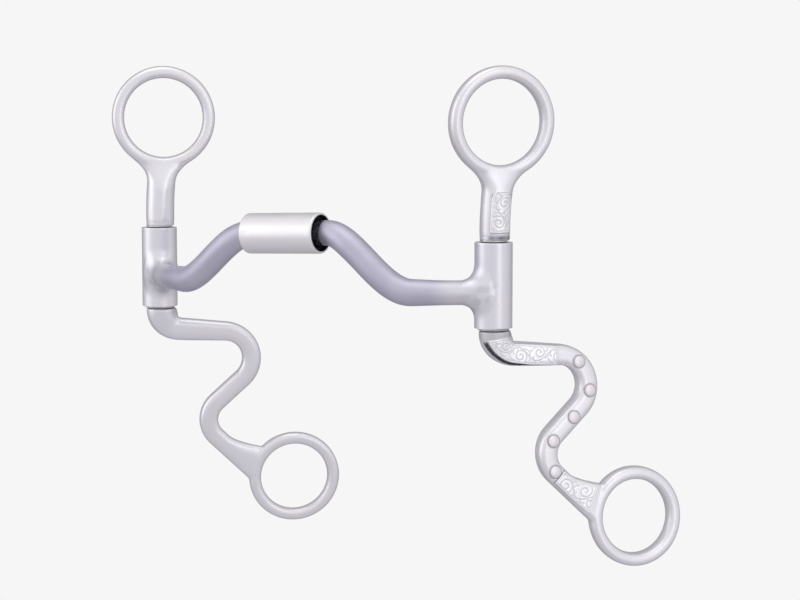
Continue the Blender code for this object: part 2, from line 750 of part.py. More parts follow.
def main():
    """Build the whole bit."""
    clear_scene()
    build_roller()
    for side, values in SIDES.items():
        sign = values["sign"]
        sleeve_space = sleeve_cutter(side, sign)
        build_cannon(side, sign, sleeve_space)
        build_sleeve(side, sign)
        build_weld_fillet(side, sign, sleeve_space)
        cheek = Cheek(side)
        build_purchase(cheek)
        build_shank(cheek)
        build_swivel(cheek)
        build_neck_plate(cheek)
        build_level_plate(cheek)
        build_rein_plate(cheek)
        build_studs(cheek)


main()
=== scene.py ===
"""Looks of the loose-jaw curb bit: metal skins, engraved overlays, studs, finishes and studio."""

import logging
import math
from dataclasses import dataclass
from enum import Enum
from typing import Callable, Iterable, Sequence

import bmesh
import bpy
import numpy as np
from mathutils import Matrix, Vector


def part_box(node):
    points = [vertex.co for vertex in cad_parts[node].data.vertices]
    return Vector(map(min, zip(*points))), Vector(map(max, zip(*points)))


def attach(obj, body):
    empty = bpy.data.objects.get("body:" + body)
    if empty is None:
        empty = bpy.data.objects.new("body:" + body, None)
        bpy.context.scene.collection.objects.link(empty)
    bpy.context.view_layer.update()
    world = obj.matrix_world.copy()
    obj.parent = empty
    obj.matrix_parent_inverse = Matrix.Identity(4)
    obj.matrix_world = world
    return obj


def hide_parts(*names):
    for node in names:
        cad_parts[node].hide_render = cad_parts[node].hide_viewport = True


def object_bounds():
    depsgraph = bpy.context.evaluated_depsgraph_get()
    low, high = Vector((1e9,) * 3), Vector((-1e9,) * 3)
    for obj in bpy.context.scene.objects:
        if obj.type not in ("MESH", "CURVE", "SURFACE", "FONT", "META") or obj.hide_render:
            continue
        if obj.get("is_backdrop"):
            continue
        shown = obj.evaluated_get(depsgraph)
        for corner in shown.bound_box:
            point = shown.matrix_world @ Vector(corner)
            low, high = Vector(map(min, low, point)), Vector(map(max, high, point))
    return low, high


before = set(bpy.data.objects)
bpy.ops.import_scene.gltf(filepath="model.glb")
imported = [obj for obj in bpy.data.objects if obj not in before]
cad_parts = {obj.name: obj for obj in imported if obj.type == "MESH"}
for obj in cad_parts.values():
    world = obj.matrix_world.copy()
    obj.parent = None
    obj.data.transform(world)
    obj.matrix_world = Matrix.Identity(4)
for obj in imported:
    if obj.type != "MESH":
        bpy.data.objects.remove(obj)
CAD_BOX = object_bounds()

MM = 0.001
TURN = 2.0 * math.pi
RIGHT_ANGLE = 0.5 * math.pi
UP = Vector((0.0, 0.0, 1.0))
SMOOTHING = 0.5
LEAST_WEIGHT = 0.02
MERGE_DISTANCE = 1e-6
FAR = 1e9
LOG = logging.getLogger("curb_bit")
Colour = tuple[float, float, float]


class Side(Enum):
    """The two sides of the bit, as the rider's hands would name them."""

    LEFT = "left"
    RIGHT = "right"

    @property
    def sign(self) -> float:
        """-1 on the left, +1 on the right."""
        return -1.0 if self is Side.LEFT else 1.0

    def name(self, piece: str) -> str:
        """Name a piece of this side."""
        return f"{self.value}_{piece}"


# -------- arithmetic


def clamp(value: np.ndarray | float, low: float = 0.0, high: float = 1.0) -> np.ndarray | float:
    """Keep a value between two limits."""
    return np.minimum(np.maximum(value, low), high)


def smoothstep(value: np.ndarray | float) -> np.ndarray | float:
    """Ease from 0 to 1 while value goes from 0 to 1."""
    t = clamp(value)
    return t * t * (3.0 - 2.0 * t)


def mix(start: float, end: float, share: np.ndarray | float) -> np.ndarray | float:
    """Blend two values: start at share 0, end at share 1."""
    return start + (end - start) * share


def bell(value: np.ndarray | float, width: float) -> np.ndarray | float:
    """Bell curve: 1 at value 0, nearly 0 past twice the width."""
    return np.exp(-((value / width) ** 2))


def circle(count: int) -> np.ndarray:
    """Evenly spaced angles of one full turn."""
    return TURN * np.arange(count) / count


def squared(wave: np.ndarray, squareness: float) -> np.ndarray:
    """Push a cosine or sine out to a superellipse: 2 leaves it alone, more makes it squarer."""
    return np.sign(wave) * np.abs(wave) ** (2.0 / squareness)


def oval(across: float, through: float, squareness: float, count: int) -> np.ndarray:
    """Points of a superellipse.

    Args:
        across: half width.
        through: half thickness.
        squareness: 2 for a plain ellipse, more for a squarer section.
        count: number of points.

    Returns:
        Rows of (across, through).
    """
    angle = circle(count)
    wide = across * squared(np.cos(angle), squareness)
    deep = through * squared(np.sin(angle), squareness)
    return np.stack([wide, deep], 1)


# -------- bench tools


class Bench:
    """Modelling steps that every piece goes through."""

    @staticmethod
    def clear_selection() -> None:
        """Leave nothing selected, in object mode."""
        if bpy.context.object and bpy.context.object.mode != "OBJECT":
            bpy.ops.object.mode_set(mode="OBJECT")
        bpy.ops.object.select_all(action="DESELECT")

    @staticmethod
    def pick(obj: bpy.types.Object) -> None:
        """Select one object alone and make it active.

        Args:
            obj: the piece.
        """
        Bench.clear_selection()
        obj.select_set(True)
        bpy.context.view_layer.objects.active = obj

    @staticmethod
    def take(name: str) -> bpy.types.Object:
        """Name the object that was just added.

        Args:
            name: its new name.

        Returns:
            The object.
        """
        obj = bpy.context.object
        obj.name = name
        obj.data.name = name
        return obj

    @staticmethod
    def sweep(name: str, rings: Sequence[np.ndarray]) -> bpy.types.Object:
        """Extrude a disc step by step through rings of equally many points.

        Args:
            name: name of the new piece.
            rings: the sections in order, each an (n, 3) array.

        Returns:
            A closed mesh object.
        """
        Bench.clear_selection()
        count = len(rings[0])
        bpy.ops.mesh.primitive_circle_add(vertices=count, radius=1.0, fill_type="NGON")
        obj = Bench.take(name)
        bpy.ops.object.mode_set(mode="EDIT")
        bpy.ops.mesh.select_mode(type="FACE")
        bpy.ops.mesh.select_all(action="SELECT")
        for _ in rings[1:]:
            bpy.ops.mesh.extrude_region_move(TRANSFORM_OT_translate={"value": (0.0, 0.0, 1.0)})
        bpy.ops.object.mode_set(mode="OBJECT")
        places = Bench.places(obj)
        level = np.rint(places[:, 2]).astype(int)
        turn = np.rint(np.arctan2(places[:, 1], places[:, 0]) / TURN * count).astype(int) % count
        stack = np.stack([np.asarray(ring, float) for ring in rings])
        Bench.place(obj, stack[level, turn])
        return obj

    @staticmethod
    def sheet(name: str, columns: int, rows: int, place: Callable) -> bpy.types.Object:
        """Lay a fine grid over a surface and close it underneath.

        Args:
            name: name of the new piece.
            columns: points along the plate.
            rows: points across the plate.
            place: takes arrays (along, across) from 0 to 1, returns (top, bottom) points.

        Returns:
            A closed plate.
        """
        Bench.clear_selection()
        bpy.ops.mesh.primitive_grid_add(
            x_subdivisions=columns - 1, y_subdivisions=rows - 1, size=2.0, calc_uvs=False
        )
        obj = Bench.take(name)
        bpy.ops.object.mode_set(mode="EDIT")
        bpy.ops.mesh.select_all(action="SELECT")
        bpy.ops.mesh.region_to_loop()
        bpy.ops.mesh.extrude_edges_move(TRANSFORM_OT_translate={"value": (0.0, 0.0, -1.0)})
        bpy.ops.mesh.edge_face_add()
        bpy.ops.object.mode_set(mode="OBJECT")
        flat = Bench.places(obj)
        top, bottom = place((flat[:, 0] + 1.0) / 2.0, (flat[:, 1] + 1.0) / 2.0)
        Bench.place(obj, np.where(flat[:, 2:3] < -0.5, bottom, top))
        return obj

    @staticmethod
    def ring(name: str, around: int, section: int) -> bpy.types.Object:
        """Add a torus of major radius 2 and minor radius 1, ready to be shaped.

        Args:
            name: name of the new piece.
            around: points round the ring.
            section: points round its section.

        Returns:
            The torus.
        """
        Bench.clear_selection()
        bpy.ops.mesh.primitive_torus_add(
            major_segments=around, minor_segments=section, major_radius=2.0, minor_radius=1.0
        )
        return Bench.take(name)

    @staticmethod
    def places(obj: bpy.types.Object) -> np.ndarray:
        """Vertex positions as an (n, 3) array.

        Args:
            obj: the piece.

        Returns:
            The positions.
        """
        flat = np.zeros(len(obj.data.vertices) * 3)
        obj.data.vertices.foreach_get("co", flat)
        return flat.reshape(-1, 3)

    @staticmethod
    def place(obj: bpy.types.Object, points: np.ndarray) -> None:
        """Move every vertex to its point."""
        obj.data.vertices.foreach_set("co", np.asarray(points, float).ravel())
        obj.data.update()

    @staticmethod
    def outward(obj: bpy.types.Object) -> None:
        """Merge doubles and turn the faces outwards.

        Args:
            obj: the piece.
        """
        Bench.pick(obj)
        bpy.ops.object.mode_set(mode="EDIT")
        bpy.ops.mesh.select_all(action="SELECT")
        bpy.ops.mesh.remove_doubles(threshold=MERGE_DISTANCE)
        bpy.ops.mesh.normals_make_consistent(inside=False)
        bpy.ops.object.mode_set(mode="OBJECT")

    @staticmethod
    def join(name: str, pieces: Sequence[bpy.types.Object]) -> bpy.types.Object:
        """Join pieces that overlap into one object.

        Args:
            name: name of the new piece.
            pieces: the pieces, which are used up.

        Returns:
            The joined piece.
        """
        for piece in pieces:
            Bench.outward(piece)
        Bench.clear_selection()
        for piece in pieces:
            piece.select_set(True)
        bpy.context.view_layer.objects.active = pieces[0]
        bpy.ops.object.join()
        return Bench.take(name)

    @staticmethod
    def modifier(obj: bpy.types.Object, kind: str, **settings: object) -> None:
        """Add a modifier with its settings and apply it.

        Args:
            obj: the piece.
            kind: the modifier's type name.
            settings: its settings.
        """
        Bench.pick(obj)
        modifier = obj.modifiers.new(kind.lower(), kind)
        for key, value in settings.items():
            setattr(modifier, key, value)
        bpy.ops.object.modifier_apply(modifier=modifier.name)

    @staticmethod
    def melt(obj: bpy.types.Object, grain: float, passes: int) -> None:
        """Fuse overlapping shapes into one skin and even out its surface."""
        Bench.modifier(obj, "REMESH", mode="VOXEL", voxel_size=grain)
        Bench.modifier(obj, "SMOOTH", factor=SMOOTHING, iterations=passes)

    @staticmethod
    def soften(obj: bpy.types.Object, weights: np.ndarray, passes: int) -> None:
        """Smooth a skin where its weights are above 0, as a file would blend a crotch.

        Args:
            obj: the piece.
            weights: how much each point gives way, from 0 to 1.
            passes: how often it is smoothed.
        """
        group = obj.vertex_groups.new(name="blend")
        for index in np.nonzero(weights > LEAST_WEIGHT)[0]:
            group.add([int(index)], float(weights[index]), "REPLACE")
        Bench.modifier(obj, "SMOOTH", factor=SMOOTHING, iterations=passes, vertex_group=group.name)
        obj.vertex_groups.clear()

    @staticmethod
    def mark(obj: bpy.types.Object, name: str, values: np.ndarray) -> None:
        """Store one number per vertex for the finish to read."""
        layer = obj.data.attributes.new(name, "FLOAT", "POINT")
        layer.data.foreach_set("value", np.asarray(values, np.float32))

    @staticmethod
    def smooth(obj: bpy.types.Object, angle: float = 40.0) -> None:
        """Shade smooth, but keep real corners."""
        Bench.pick(obj)
        bpy.ops.object.shade_smooth_by_angle(angle=math.radians(angle))


# -------- shader groups


class Wiring:
    """Adds nodes to a tree and joins them."""

    def __init__(self, tree: bpy.types.NodeTree) -> None:
        """Keep the tree."""
        self.tree = tree
        self.count = 0

    def node(self, kind: str, inputs: dict | None = None, **settings: object) -> bpy.types.Node:
        """Add a node.

        Args:
            kind: the node's type name.
            inputs: values or output sockets for its inputs, by name or number.
            settings: its other properties.

        Returns:
            The new node.
        """
        node = self.tree.nodes.new(kind)
        node.location = (200.0 * (self.count % 9), -220.0 * (self.count // 9))
        self.count += 1
        for key, value in settings.items():
            setattr(node, key, value)
        for key, value in (inputs or {}).items():
            self.feed(node.inputs[key], value)
        return node

    def feed(self, socket: bpy.types.NodeSocket, value: object) -> None:
        """Link an output socket to an input, or set the input's value."""
        if isinstance(value, bpy.types.NodeSocket):
            self.tree.links.new(value, socket)
        else:
            socket.default_value = value

    def math(self, operation: str, *values: object) -> bpy.types.NodeSocket:
        """Arithmetic on up to three values.

        Args:
            operation: the sum's type name.
            values: numbers or output sockets.

        Returns:
            The result.
        """
        node = self.node("ShaderNodeMath", operation=operation)
        for index, value in enumerate(values):
            self.feed(node.inputs[index], value)
        return node.outputs[0]

    def blend(self, share: object, first: object, second: object) -> bpy.types.NodeSocket:
        """Mix two colours.

        Args:
            share: how much of the second, from 0 to 1.
            first: first colour.
            second: second colour.

        Returns:
            The blend.
        """
        node = self.node("ShaderNodeMix", data_type="RGBA")
        self.feed(node.inputs[0], share)
        self.feed(node.inputs[6], first)
        self.feed(node.inputs[7], second)
        return node.outputs[2]

    def ranged(self, value: object, *limits: float) -> bpy.types.NodeSocket:
        """Map a value from one range, low and high, to another, low and high, clamped."""
        return self.node("ShaderNodeMapRange", dict(enumerate((value, *limits)))).outputs[0]

    def noise(self, place: object, scale: object, detail: float, roughness: float = 0.5
              ) -> bpy.types.Node:
        """Add a noise texture."""
        inputs = {"Vector": place, "Scale": scale, "Detail": detail, "Roughness": roughness}
        return self.node("ShaderNodeTexNoise", inputs)

    def attribute(self, name: str) -> bpy.types.NodeSocket:
        """Read a number that was stored on the piece's points."""
        return self.node("ShaderNodeAttribute", attribute_name=name).outputs["Fac"]

    def effect(self, group: bpy.types.NodeTree, inputs: dict) -> bpy.types.bpy_prop_collection:
        """Place a shared effect with its own values and return its outputs.

        Args:
            group: the effect's node group.
            inputs: values or output sockets for its inputs, by name.

        Returns:
            The effect's outputs.
        """
        node = self.node("ShaderNodeGroup", node_tree=group)
        for key, value in inputs.items():
            self.feed(node.inputs[key], value)
        return node.outputs

    def close(self, kind: str, shader: bpy.types.Node) -> None:
        """Add the output node of a kind and give it the shader."""
        self.feed(self.node(kind).inputs["Surface"], shader.outputs[0])


def blank_material(name: str) -> tuple[bpy.types.Material, Wiring]:
    """Start a material with no nodes.

    Args:
        name: the material's name.

    Returns:
        The material and the wiring of its nodes.
    """
    material = bpy.data.materials.new(name)
    material.use_nodes = True
    material.node_tree.nodes.clear()
    return material, Wiring(material.node_tree)


class Groups:
    """Shared effects, each a node group that is built once."""

    made: dict[str, bpy.types.NodeTree] = {}

    @classmethod
    def start(cls, name: str, inputs: Iterable[tuple], outputs: Iterable[tuple]) -> tuple:
        """Open a group with its sockets.

        Args:
            name: the group's name.
            inputs: (name, socket kind, default) rows.
            outputs: (name, socket kind) rows.

        Returns:
            The wiring, the input node's outputs and the output node's inputs.
        """
        tree = bpy.data.node_groups.new(name, "ShaderNodeTree")
        for label, kind, default in inputs:
            socket = tree.interface.new_socket(label, in_out="INPUT", socket_type=kind)
            if default is not None:
                socket.default_value = default
        for label, kind in outputs:
            tree.interface.new_socket(label, in_out="OUTPUT", socket_type=kind)
        wiring = Wiring(tree)
        entry = wiring.node("NodeGroupInput")
        leave = wiring.node("NodeGroupOutput")
        cls.made[name] = tree
        return wiring, entry.outputs, leave.inputs

    @classmethod
    def cloud_tint(cls) -> bpy.types.NodeTree:
        """Soft drifts of a second tint over the base colour.

        Returns:
            The group.
        """
        if "cloud_tint" in cls.made:
            return cls.made["cloud_tint"]
        w, a, z = cls.start(
            "cloud_tint",
            [
                ("Place", "NodeSocketVector", None),
                ("Base", "NodeSocketColor", (0.8, 0.8, 0.8, 1.0)),
                ("Tint", "NodeSocketColor", (0.8, 0.7, 0.7, 1.0)),
                ("Scale", "NodeSocketFloat", 90.0),
                ("Amount", "NodeSocketFloat", 0.5),
            ],
            [("Colour", "NodeSocketColor"), ("Mask", "NodeSocketFloat")],
        )
        noise = w.noise(a["Place"], a["Scale"], 4.0, 0.55)
        mask = w.ranged(noise.outputs[0], 0.42, 0.68, 0.0, 1.0)
        share = w.math("MULTIPLY", mask, a["Amount"])
        w.feed(z["Colour"], w.blend(share, a["Base"], a["Tint"]))
        w.feed(z["Mask"], mask)
        return w.tree

    @classmethod
    def polish(cls) -> bpy.types.NodeTree:
        """Directional polishing lines, from a stretched noise.

        Returns:
            The group.
        """
        if "polish" in cls.made:
            return cls.made["polish"]
        w, a, z = cls.start(
            "polish",
            [
                ("Place", "NodeSocketVector", None),
                ("Stretch", "NodeSocketVector", (1.0, 1.0, 1.0)),
                ("Scale", "NodeSocketFloat", 2500.0),
            ],
            [("Lines", "NodeSocketFloat"), ("Scuff", "NodeSocketFloat")],
        )
        stretched = w.node(
            "ShaderNodeVectorMath", {0: a["Place"], 1: a["Stretch"]}, operation="MULTIPLY"
        )
        lines = w.noise(stretched.outputs[0], a["Scale"], 3.0, 0.6)
        coarse = w.math("MULTIPLY", a["Scale"], 0.12)
        scuff = w.noise(stretched.outputs[0], coarse, 6.0, 0.7)
        w.feed(z["Lines"], lines.outputs[0])
        w.feed(z["Scuff"], w.ranged(scuff.outputs[0], 0.5, 0.75, 0.0, 1.0))
        return w.tree

    @classmethod
    def handling(cls) -> bpy.types.NodeTree:
        """Fine scratches and pin-prick pits that use leaves in metal.

        Returns:
            The group.
        """
        if "handling" in cls.made:
            return cls.made["handling"]
        w, a, z = cls.start(
            "handling",
            [
                ("Place", "NodeSocketVector", None),
                ("Density", "NodeSocketFloat", 260.0),
            ],
            [("Scratches", "NodeSocketFloat"), ("Pits", "NodeSocketFloat")],
        )
        bent = w.noise(a["Place"], 180.0, 1.0)
        pushed = w.node(
            "ShaderNodeVectorMath",
            {0: bent.outputs[1], 1: (4.0 * MM,) * 3, 2: a["Place"]},
            operation="MULTIPLY_ADD",
        )
        cells = w.node(
            "ShaderNodeTexVoronoi",
            {"Vector": pushed.outputs[0], "Scale": a["Density"]},
            feature="DISTANCE_TO_EDGE",
        )
        hair = w.ranged(cells.outputs[0], 0.0, 0.022, 1.0, 0.0)
        patch = w.noise(a["Place"], 320.0, 2.0)
        patch_mask = w.ranged(patch.outputs[0], 0.52, 0.6, 0.0, 1.0)
        dots = w.node(
            "ShaderNodeTexVoronoi",
            {"Vector": a["Place"], "Scale": w.math("MULTIPLY", a["Density"], 2.6)},
        )
        pit = w.ranged(dots.outputs[0], 0.05, 0.16, 1.0, 0.0)
        rare = w.noise(a["Place"], 520.0, 1.0)
        rare_mask = w.ranged(rare.outputs[0], 0.58, 0.64, 0.0, 1.0)
        w.feed(z["Scratches"], w.math("MULTIPLY", hair, patch_mask))
        w.feed(z["Pits"], w.math("MULTIPLY", pit, rare_mask))
        return w.tree

    @classmethod
    def darken_with_oxide_and_shade(cls) -> bpy.types.NodeTree:
        """Dark oxide in cuts and painted shade in bores and recesses, with a ragged edge.

        Returns:
            The group.
        """
        if "darken_with_oxide_and_shade" in cls.made:
            return cls.made["darken_with_oxide_and_shade"]
        w, a, z = cls.start(
            "darken_with_oxide_and_shade",
            [
                ("Place", "NodeSocketVector", None),
                ("Colour", "NodeSocketColor", (0.8, 0.8, 0.8, 1.0)),
                ("OxideAndShadeColour", "NodeSocketColor", (0.03, 0.03, 0.035, 1.0)),
                ("Cut", "NodeSocketFloat", 0.0),
                ("Strength", "NodeSocketFloat", 1.0),
            ],
            [("Colour", "NodeSocketColor"), ("Mask", "NodeSocketFloat")],
        )
        rag = w.noise(a["Place"], 2600.0, 3.0)
        rough_edge = w.ranged(rag.outputs[0], 0.3, 0.7, 0.75, 1.15)
        mask = w.math("MULTIPLY", a["Cut"], rough_edge)
        mask = w.math("MULTIPLY", mask, a["Strength"])
        mask = w.math("MINIMUM", mask, 1.0)
        w.feed(z["Colour"], w.blend(mask, a["Colour"], a["OxideAndShadeColour"]))
        w.feed(z["Mask"], mask)
        return w.tree


@dataclass(frozen=True)
class MetalFinish:
    """A polished or satin metal, with its tint drifts, polishing lines and wear.

    Depths of scratches, pits and raw grain are shares of line_height.
    """

    name: str
    base: Colour
    tint: Colour
    roughness: float
    drift: float = 0.5
    drift_scale: float = 70.0
    stretch: tuple[float, float, float] = (1.0, 1.0, 0.12)
    line_scale: float = 2600.0
    line_height: float = 0.003 * MM
    scuff: float = 0.05
    wear: float = 0.4
    scratch_colour: Colour = (0.42, 0.41, 0.44)
    pit_depth: float = 1.6
    oxide_and_shade_colour: Colour = (0.030, 0.030, 0.036)
    oxide_and_shade_metallic: float = 0.4
    oxide_and_shade_dulling: float = 0.3
    oxide_and_shade_strength: float = 0.0
    raw: bool = False
    raw_colour: Colour = (0.34, 0.34, 0.36)
    raw_dulling: float = 0.22
    raw_depth: float = 3.0
    second: Colour | None = None

    def material(self) -> bpy.types.Material:
        """Build the material, or return it if it was built before.

        Returns:
            The material.
        """
        if self.name in bpy.data.materials:
            return bpy.data.materials[self.name]
        material, w = blank_material(self.name)
        place = w.node("ShaderNodeTexCoord").outputs["Object"]
        look = self.worked_surface(w, place)
        if self.second:
            look["Base Color"] = w.blend(
                w.attribute("tone"), look["Base Color"], (*self.second, 1.0)
            )
        if self.raw:
            self.leave_raw(w, place, look)
        if self.oxide_and_shade_strength > 0.0:
            self.age(w, place, look)
        bump = w.node(
            "ShaderNodeBump",
            {"Strength": 1.0, "Distance": self.line_height, "Height": look.pop("Height")},
        )
        look["Normal"] = bump.outputs[0]
        w.close("ShaderNodeOutputMaterial", w.node("ShaderNodeBsdfPrincipled", look))
        return material

    def worked_surface(self, w: Wiring, place: bpy.types.NodeSocket) -> dict:
        """Metal as the polisher and the years leave it.

        Args:
            w: wiring of the material.
            place: coordinates on the piece.

        Returns:
            Values for the shader's inputs, and the bump's Height.
        """
        cloud = w.effect(Groups.cloud_tint(), {
            "Place": place, "Base": (*self.base, 1.0), "Tint": (*self.tint, 1.0),
            "Scale": self.drift_scale, "Amount": self.drift,
        })
        polish = w.effect(Groups.polish(), {
            "Place": place, "Stretch": self.stretch, "Scale": self.line_scale,
        })
        handling = w.effect(Groups.handling(), {"Place": place})
        roughness = w.math("MULTIPLY_ADD", polish["Scuff"], self.scuff, self.roughness)
        roughness = w.math("MULTIPLY_ADD", cloud["Mask"], 0.5 * self.scuff, roughness)
        scratched = w.math("MULTIPLY", handling["Scratches"], 0.25 * self.wear)
        colour = w.blend(scratched, cloud["Colour"], (*self.scratch_colour, 1.0))
        height = w.math("MULTIPLY_ADD", handling["Scratches"], -self.wear, polish["Lines"])
        height = w.math("MULTIPLY_ADD", handling["Pits"], -self.pit_depth * self.wear, height)
        return {"Base Color": colour, "Roughness": roughness, "Metallic": 1.0, "Height": height}

    def leave_raw(self, w: Wiring, place: bpy.types.NodeSocket, look: dict) -> None:
        """Leave the marked part as it was forged: grey, dull and grainy.

        Args:
            w: wiring of the material.
            place: coordinates on the piece.
            look: the shader's values, changed in place.
        """
        raw = w.attribute("raw")
        grain = w.noise(place, 3200.0, 4.0, 0.8).outputs[0]
        speckle = w.math("MULTIPLY", raw, w.ranged(grain, 0.3, 0.7, 0.55, 1.0))
        look["Base Color"] = w.blend(speckle, look["Base Color"], (*self.raw_colour, 1.0))
        look["Roughness"] = w.math("MULTIPLY_ADD", raw, self.raw_dulling, look["Roughness"])
        rise = w.math("MULTIPLY", grain, raw)
        look["Height"] = w.math("MULTIPLY_ADD", rise, self.raw_depth, look["Height"])

    def age(self, w: Wiring, place: bpy.types.NodeSocket, look: dict) -> None:
        """Darken the marked places: oxide in cuts, and painted shade in bores, corners and recesses.

        Args:
            w: wiring of the material.
            place: coordinates on the piece.
            look: the shader's values, changed in place.
        """
        aged_and_shaded = w.effect(Groups.darken_with_oxide_and_shade(), {
            "Place": place, "Colour": look["Base Color"], "OxideAndShadeColour": (*self.oxide_and_shade_colour, 1.0),
            "Cut": w.attribute("oxide_and_shade"), "Strength": self.oxide_and_shade_strength,
        })
        mask = aged_and_shaded["Mask"]
        look["Base Color"] = aged_and_shaded["Colour"]
        look["Roughness"] = w.math("MULTIPLY_ADD", mask, self.oxide_and_shade_dulling, look["Roughness"])
        look["Metallic"] = w.math("MULTIPLY_ADD", mask, self.oxide_and_shade_metallic - 1.0, 1.0)


@dataclass(frozen=True)
class PlasticFinish:
    """Dark moulded plastic of the roller's bushings."""

    name: str
    base: Colour
    roughness: float
    specular: float = 0.1
    pit_height: float = 0.02 * MM

    def material(self) -> bpy.types.Material:
        """Build the material, or return it if it was built before.

        Returns:
            The material.
        """
        if self.name in bpy.data.materials:
            return bpy.data.materials[self.name]
        material, w = blank_material(self.name)
        place = w.node("ShaderNodeTexCoord").outputs["Object"]
        cloud = w.effect(Groups.cloud_tint(), {
            "Place": place, "Base": (*self.base, 1.0), "Scale": 400.0, "Amount": 0.4,
            "Tint": (*[2.5 * part for part in self.base], 1.0),
        })
        handling = w.effect(Groups.handling(), {"Place": place, "Density": 500.0})
        roughness = w.math("MULTIPLY_ADD", cloud["Mask"], 0.1, self.roughness)
        bump = w.node(
            "ShaderNodeBump", {"Distance": self.pit_height, "Height": handling["Pits"]}
        )
        shader = w.node("ShaderNodeBsdfPrincipled", {
            "Base Color": cloud["Colour"], "Roughness": roughness, "Normal": bump.outputs[0],
            "Specular IOR Level": self.specular,
        })
        w.close("ShaderNodeOutputMaterial", shader)
        return material


class Finishes:
    """Every finish of the bit, by what it is on."""

    # Its dark colour is oxide and painted shade in the slot, the stud grooves, the collar and along
    # the overlays' edges.
    CHEEK = MetalFinish(
        "cheek_stainless", (0.800, 0.792, 0.838), (0.835, 0.790, 0.805), 0.38,
        drift=0.6, wear=0.3, line_height=0.002 * MM, oxide_and_shade_strength=1.0, raw=True,
    )
    # Its dark colour is painted shade in the bore and under the cannon, and the weld's heat tint round
    # the cannon's root.
    SLEEVE = MetalFinish(
        "sleeve_stainless", (0.780, 0.774, 0.830), (0.815, 0.785, 0.805), 0.38,
        drift=0.5, stretch=(1.0, 1.0, 0.06), line_height=0.004 * MM, oxide_and_shade_strength=0.8,
        second=(0.68, 0.666, 0.715),
    )
    # Its near-black dark colour paints the shade in the roller's bore.
    ROLLER = MetalFinish(
        "roller_stainless", (0.860, 0.852, 0.872), (0.875, 0.845, 0.853), 0.42,
        drift=0.6, stretch=(1.0, 0.10, 0.10), line_height=0.004 * MM, oxide_and_shade_strength=1.0,
        oxide_and_shade_colour=(0.008, 0.008, 0.010), oxide_and_shade_metallic=1.0,
    )
    # Its near-black dark colour paints the shade on the cannon inside the roller.
    IRON = MetalFinish(
        "iron_cannon", (0.530, 0.516, 0.632), (0.588, 0.570, 0.656), 0.46,
        drift=0.7, drift_scale=110.0, stretch=(0.12, 1.0, 1.0), line_scale=2000.0,
        line_height=0.004 * MM, scuff=0.08, wear=0.6, second=(0.68, 0.666, 0.715),
        oxide_and_shade_strength=1.0, oxide_and_shade_colour=(0.006, 0.006, 0.008), oxide_and_shade_metallic=1.0,
    )
    OVERLAY = MetalFinish(
        "engraved_silver", (0.930, 0.924, 0.955), (0.900, 0.888, 0.912), 0.36,
        drift=0.5, drift_scale=160.0, stretch=(1.0, 1.0, 1.0), oxide_and_shade_strength=0.34,
        oxide_and_shade_colour=(0.30, 0.295, 0.33), line_height=0.002 * MM,
    )
    # Its dark colour is oxide and painted shade at the foot of the rim.
    STUD = MetalFinish(
        "stud_silver", (0.790, 0.775, 0.812), (0.800, 0.715, 0.740), 0.38,
        drift=0.8, drift_scale=90.0, stretch=(1.0, 1.0, 1.0), oxide_and_shade_strength=0.9,
    )
    PIN = MetalFinish(
        "oxidised_pin", (0.110, 0.108, 0.125), (0.240, 0.235, 0.265), 0.34,
        drift=0.8, drift_scale=260.0, wear=0.8,
    )
    WASHER = MetalFinish(
        "worn_washer", (0.600, 0.595, 0.625), (0.500, 0.495, 0.520), 0.40,
        drift=0.8, drift_scale=260.0, wear=0.8,
    )
    BUSHING = PlasticFinish("bushing_black", (0.006, 0.006, 0.007), 0.42)


def dress(obj: bpy.types.Object, finish: MetalFinish | PlasticFinish) -> None:
    """Give a piece one finish all over."""
    obj.data.materials.clear()
    obj.data.materials.append(finish.material())


def report(obj: bpy.types.Object) -> None:
    """Log a finished piece and how fine it is."""
    LOG.info("%s: %d faces", obj.name, len(obj.data.polygons))


# -------- cheek drawing


@dataclass(frozen=True)
class CheekFrame:
    """Flat (u, v, w) drawing of a cheek: u to the rein ring, v up, w out of the bit."""

    side: Side
    axis_at: Vector
    swivel: float
    upper_start: float
    lower_start: float
    upper_flare: float = math.radians(2.2)
    lower_flare: float = math.radians(6.3)
    bend: float = 6.0 * MM

    def flare(self, v: np.ndarray) -> np.ndarray:
        """How far the cheek leans out of the bit at height v.

        Args:
            v: heights over the middle of the sleeve.

        Returns:
            The lean at each height.
        """
        up = v > 0.0
        slope = np.where(up, math.tan(self.upper_flare), math.tan(self.lower_flare))
        beyond = np.maximum(np.abs(v) - np.where(up, self.upper_start, self.lower_start), 0.0)
        curved = slope * beyond * beyond / (2.0 * self.bend)
        return np.where(beyond < self.bend, curved, slope * (beyond - self.bend / 2.0))

    def points(self, u: object, v: object, w: object) -> np.ndarray:
        """Place points of the drawing in the bit's frame, as an (n, 3) array.

        Args:
            u: towards the rein ring.
            v: upwards.
            w: out of the bit.

        Returns:
            The points.
        """
        u, v, w = np.broadcast_arrays(np.asarray(u, float), np.asarray(v, float), np.asarray(w, float))
        out = -self.side.sign * (w + self.flare(v))
        c, s = math.cos(self.swivel), math.sin(self.swivel)
        x = self.axis_at.x + u * c - out * s
        y = self.axis_at.y + u * s + out * c
        return np.stack([x, y, self.axis_at.z + v], -1)

    def drawing(self, points: np.ndarray) -> tuple[np.ndarray, np.ndarray, np.ndarray]:
        """Turn points of the bit's frame back into (u, v, w).

        Args:
            points: places in the bit's frame.

        Returns:
            Arrays u, v and w.
        """
        c, s = math.cos(self.swivel), math.sin(self.swivel)
        x = points[:, 0] - self.axis_at.x
        y = points[:, 1] - self.axis_at.y
        v = points[:, 2] - self.axis_at.z
        u = x * c + y * s
        out = -x * s + y * c
        return u, v, -self.side.sign * out - self.flare(v)


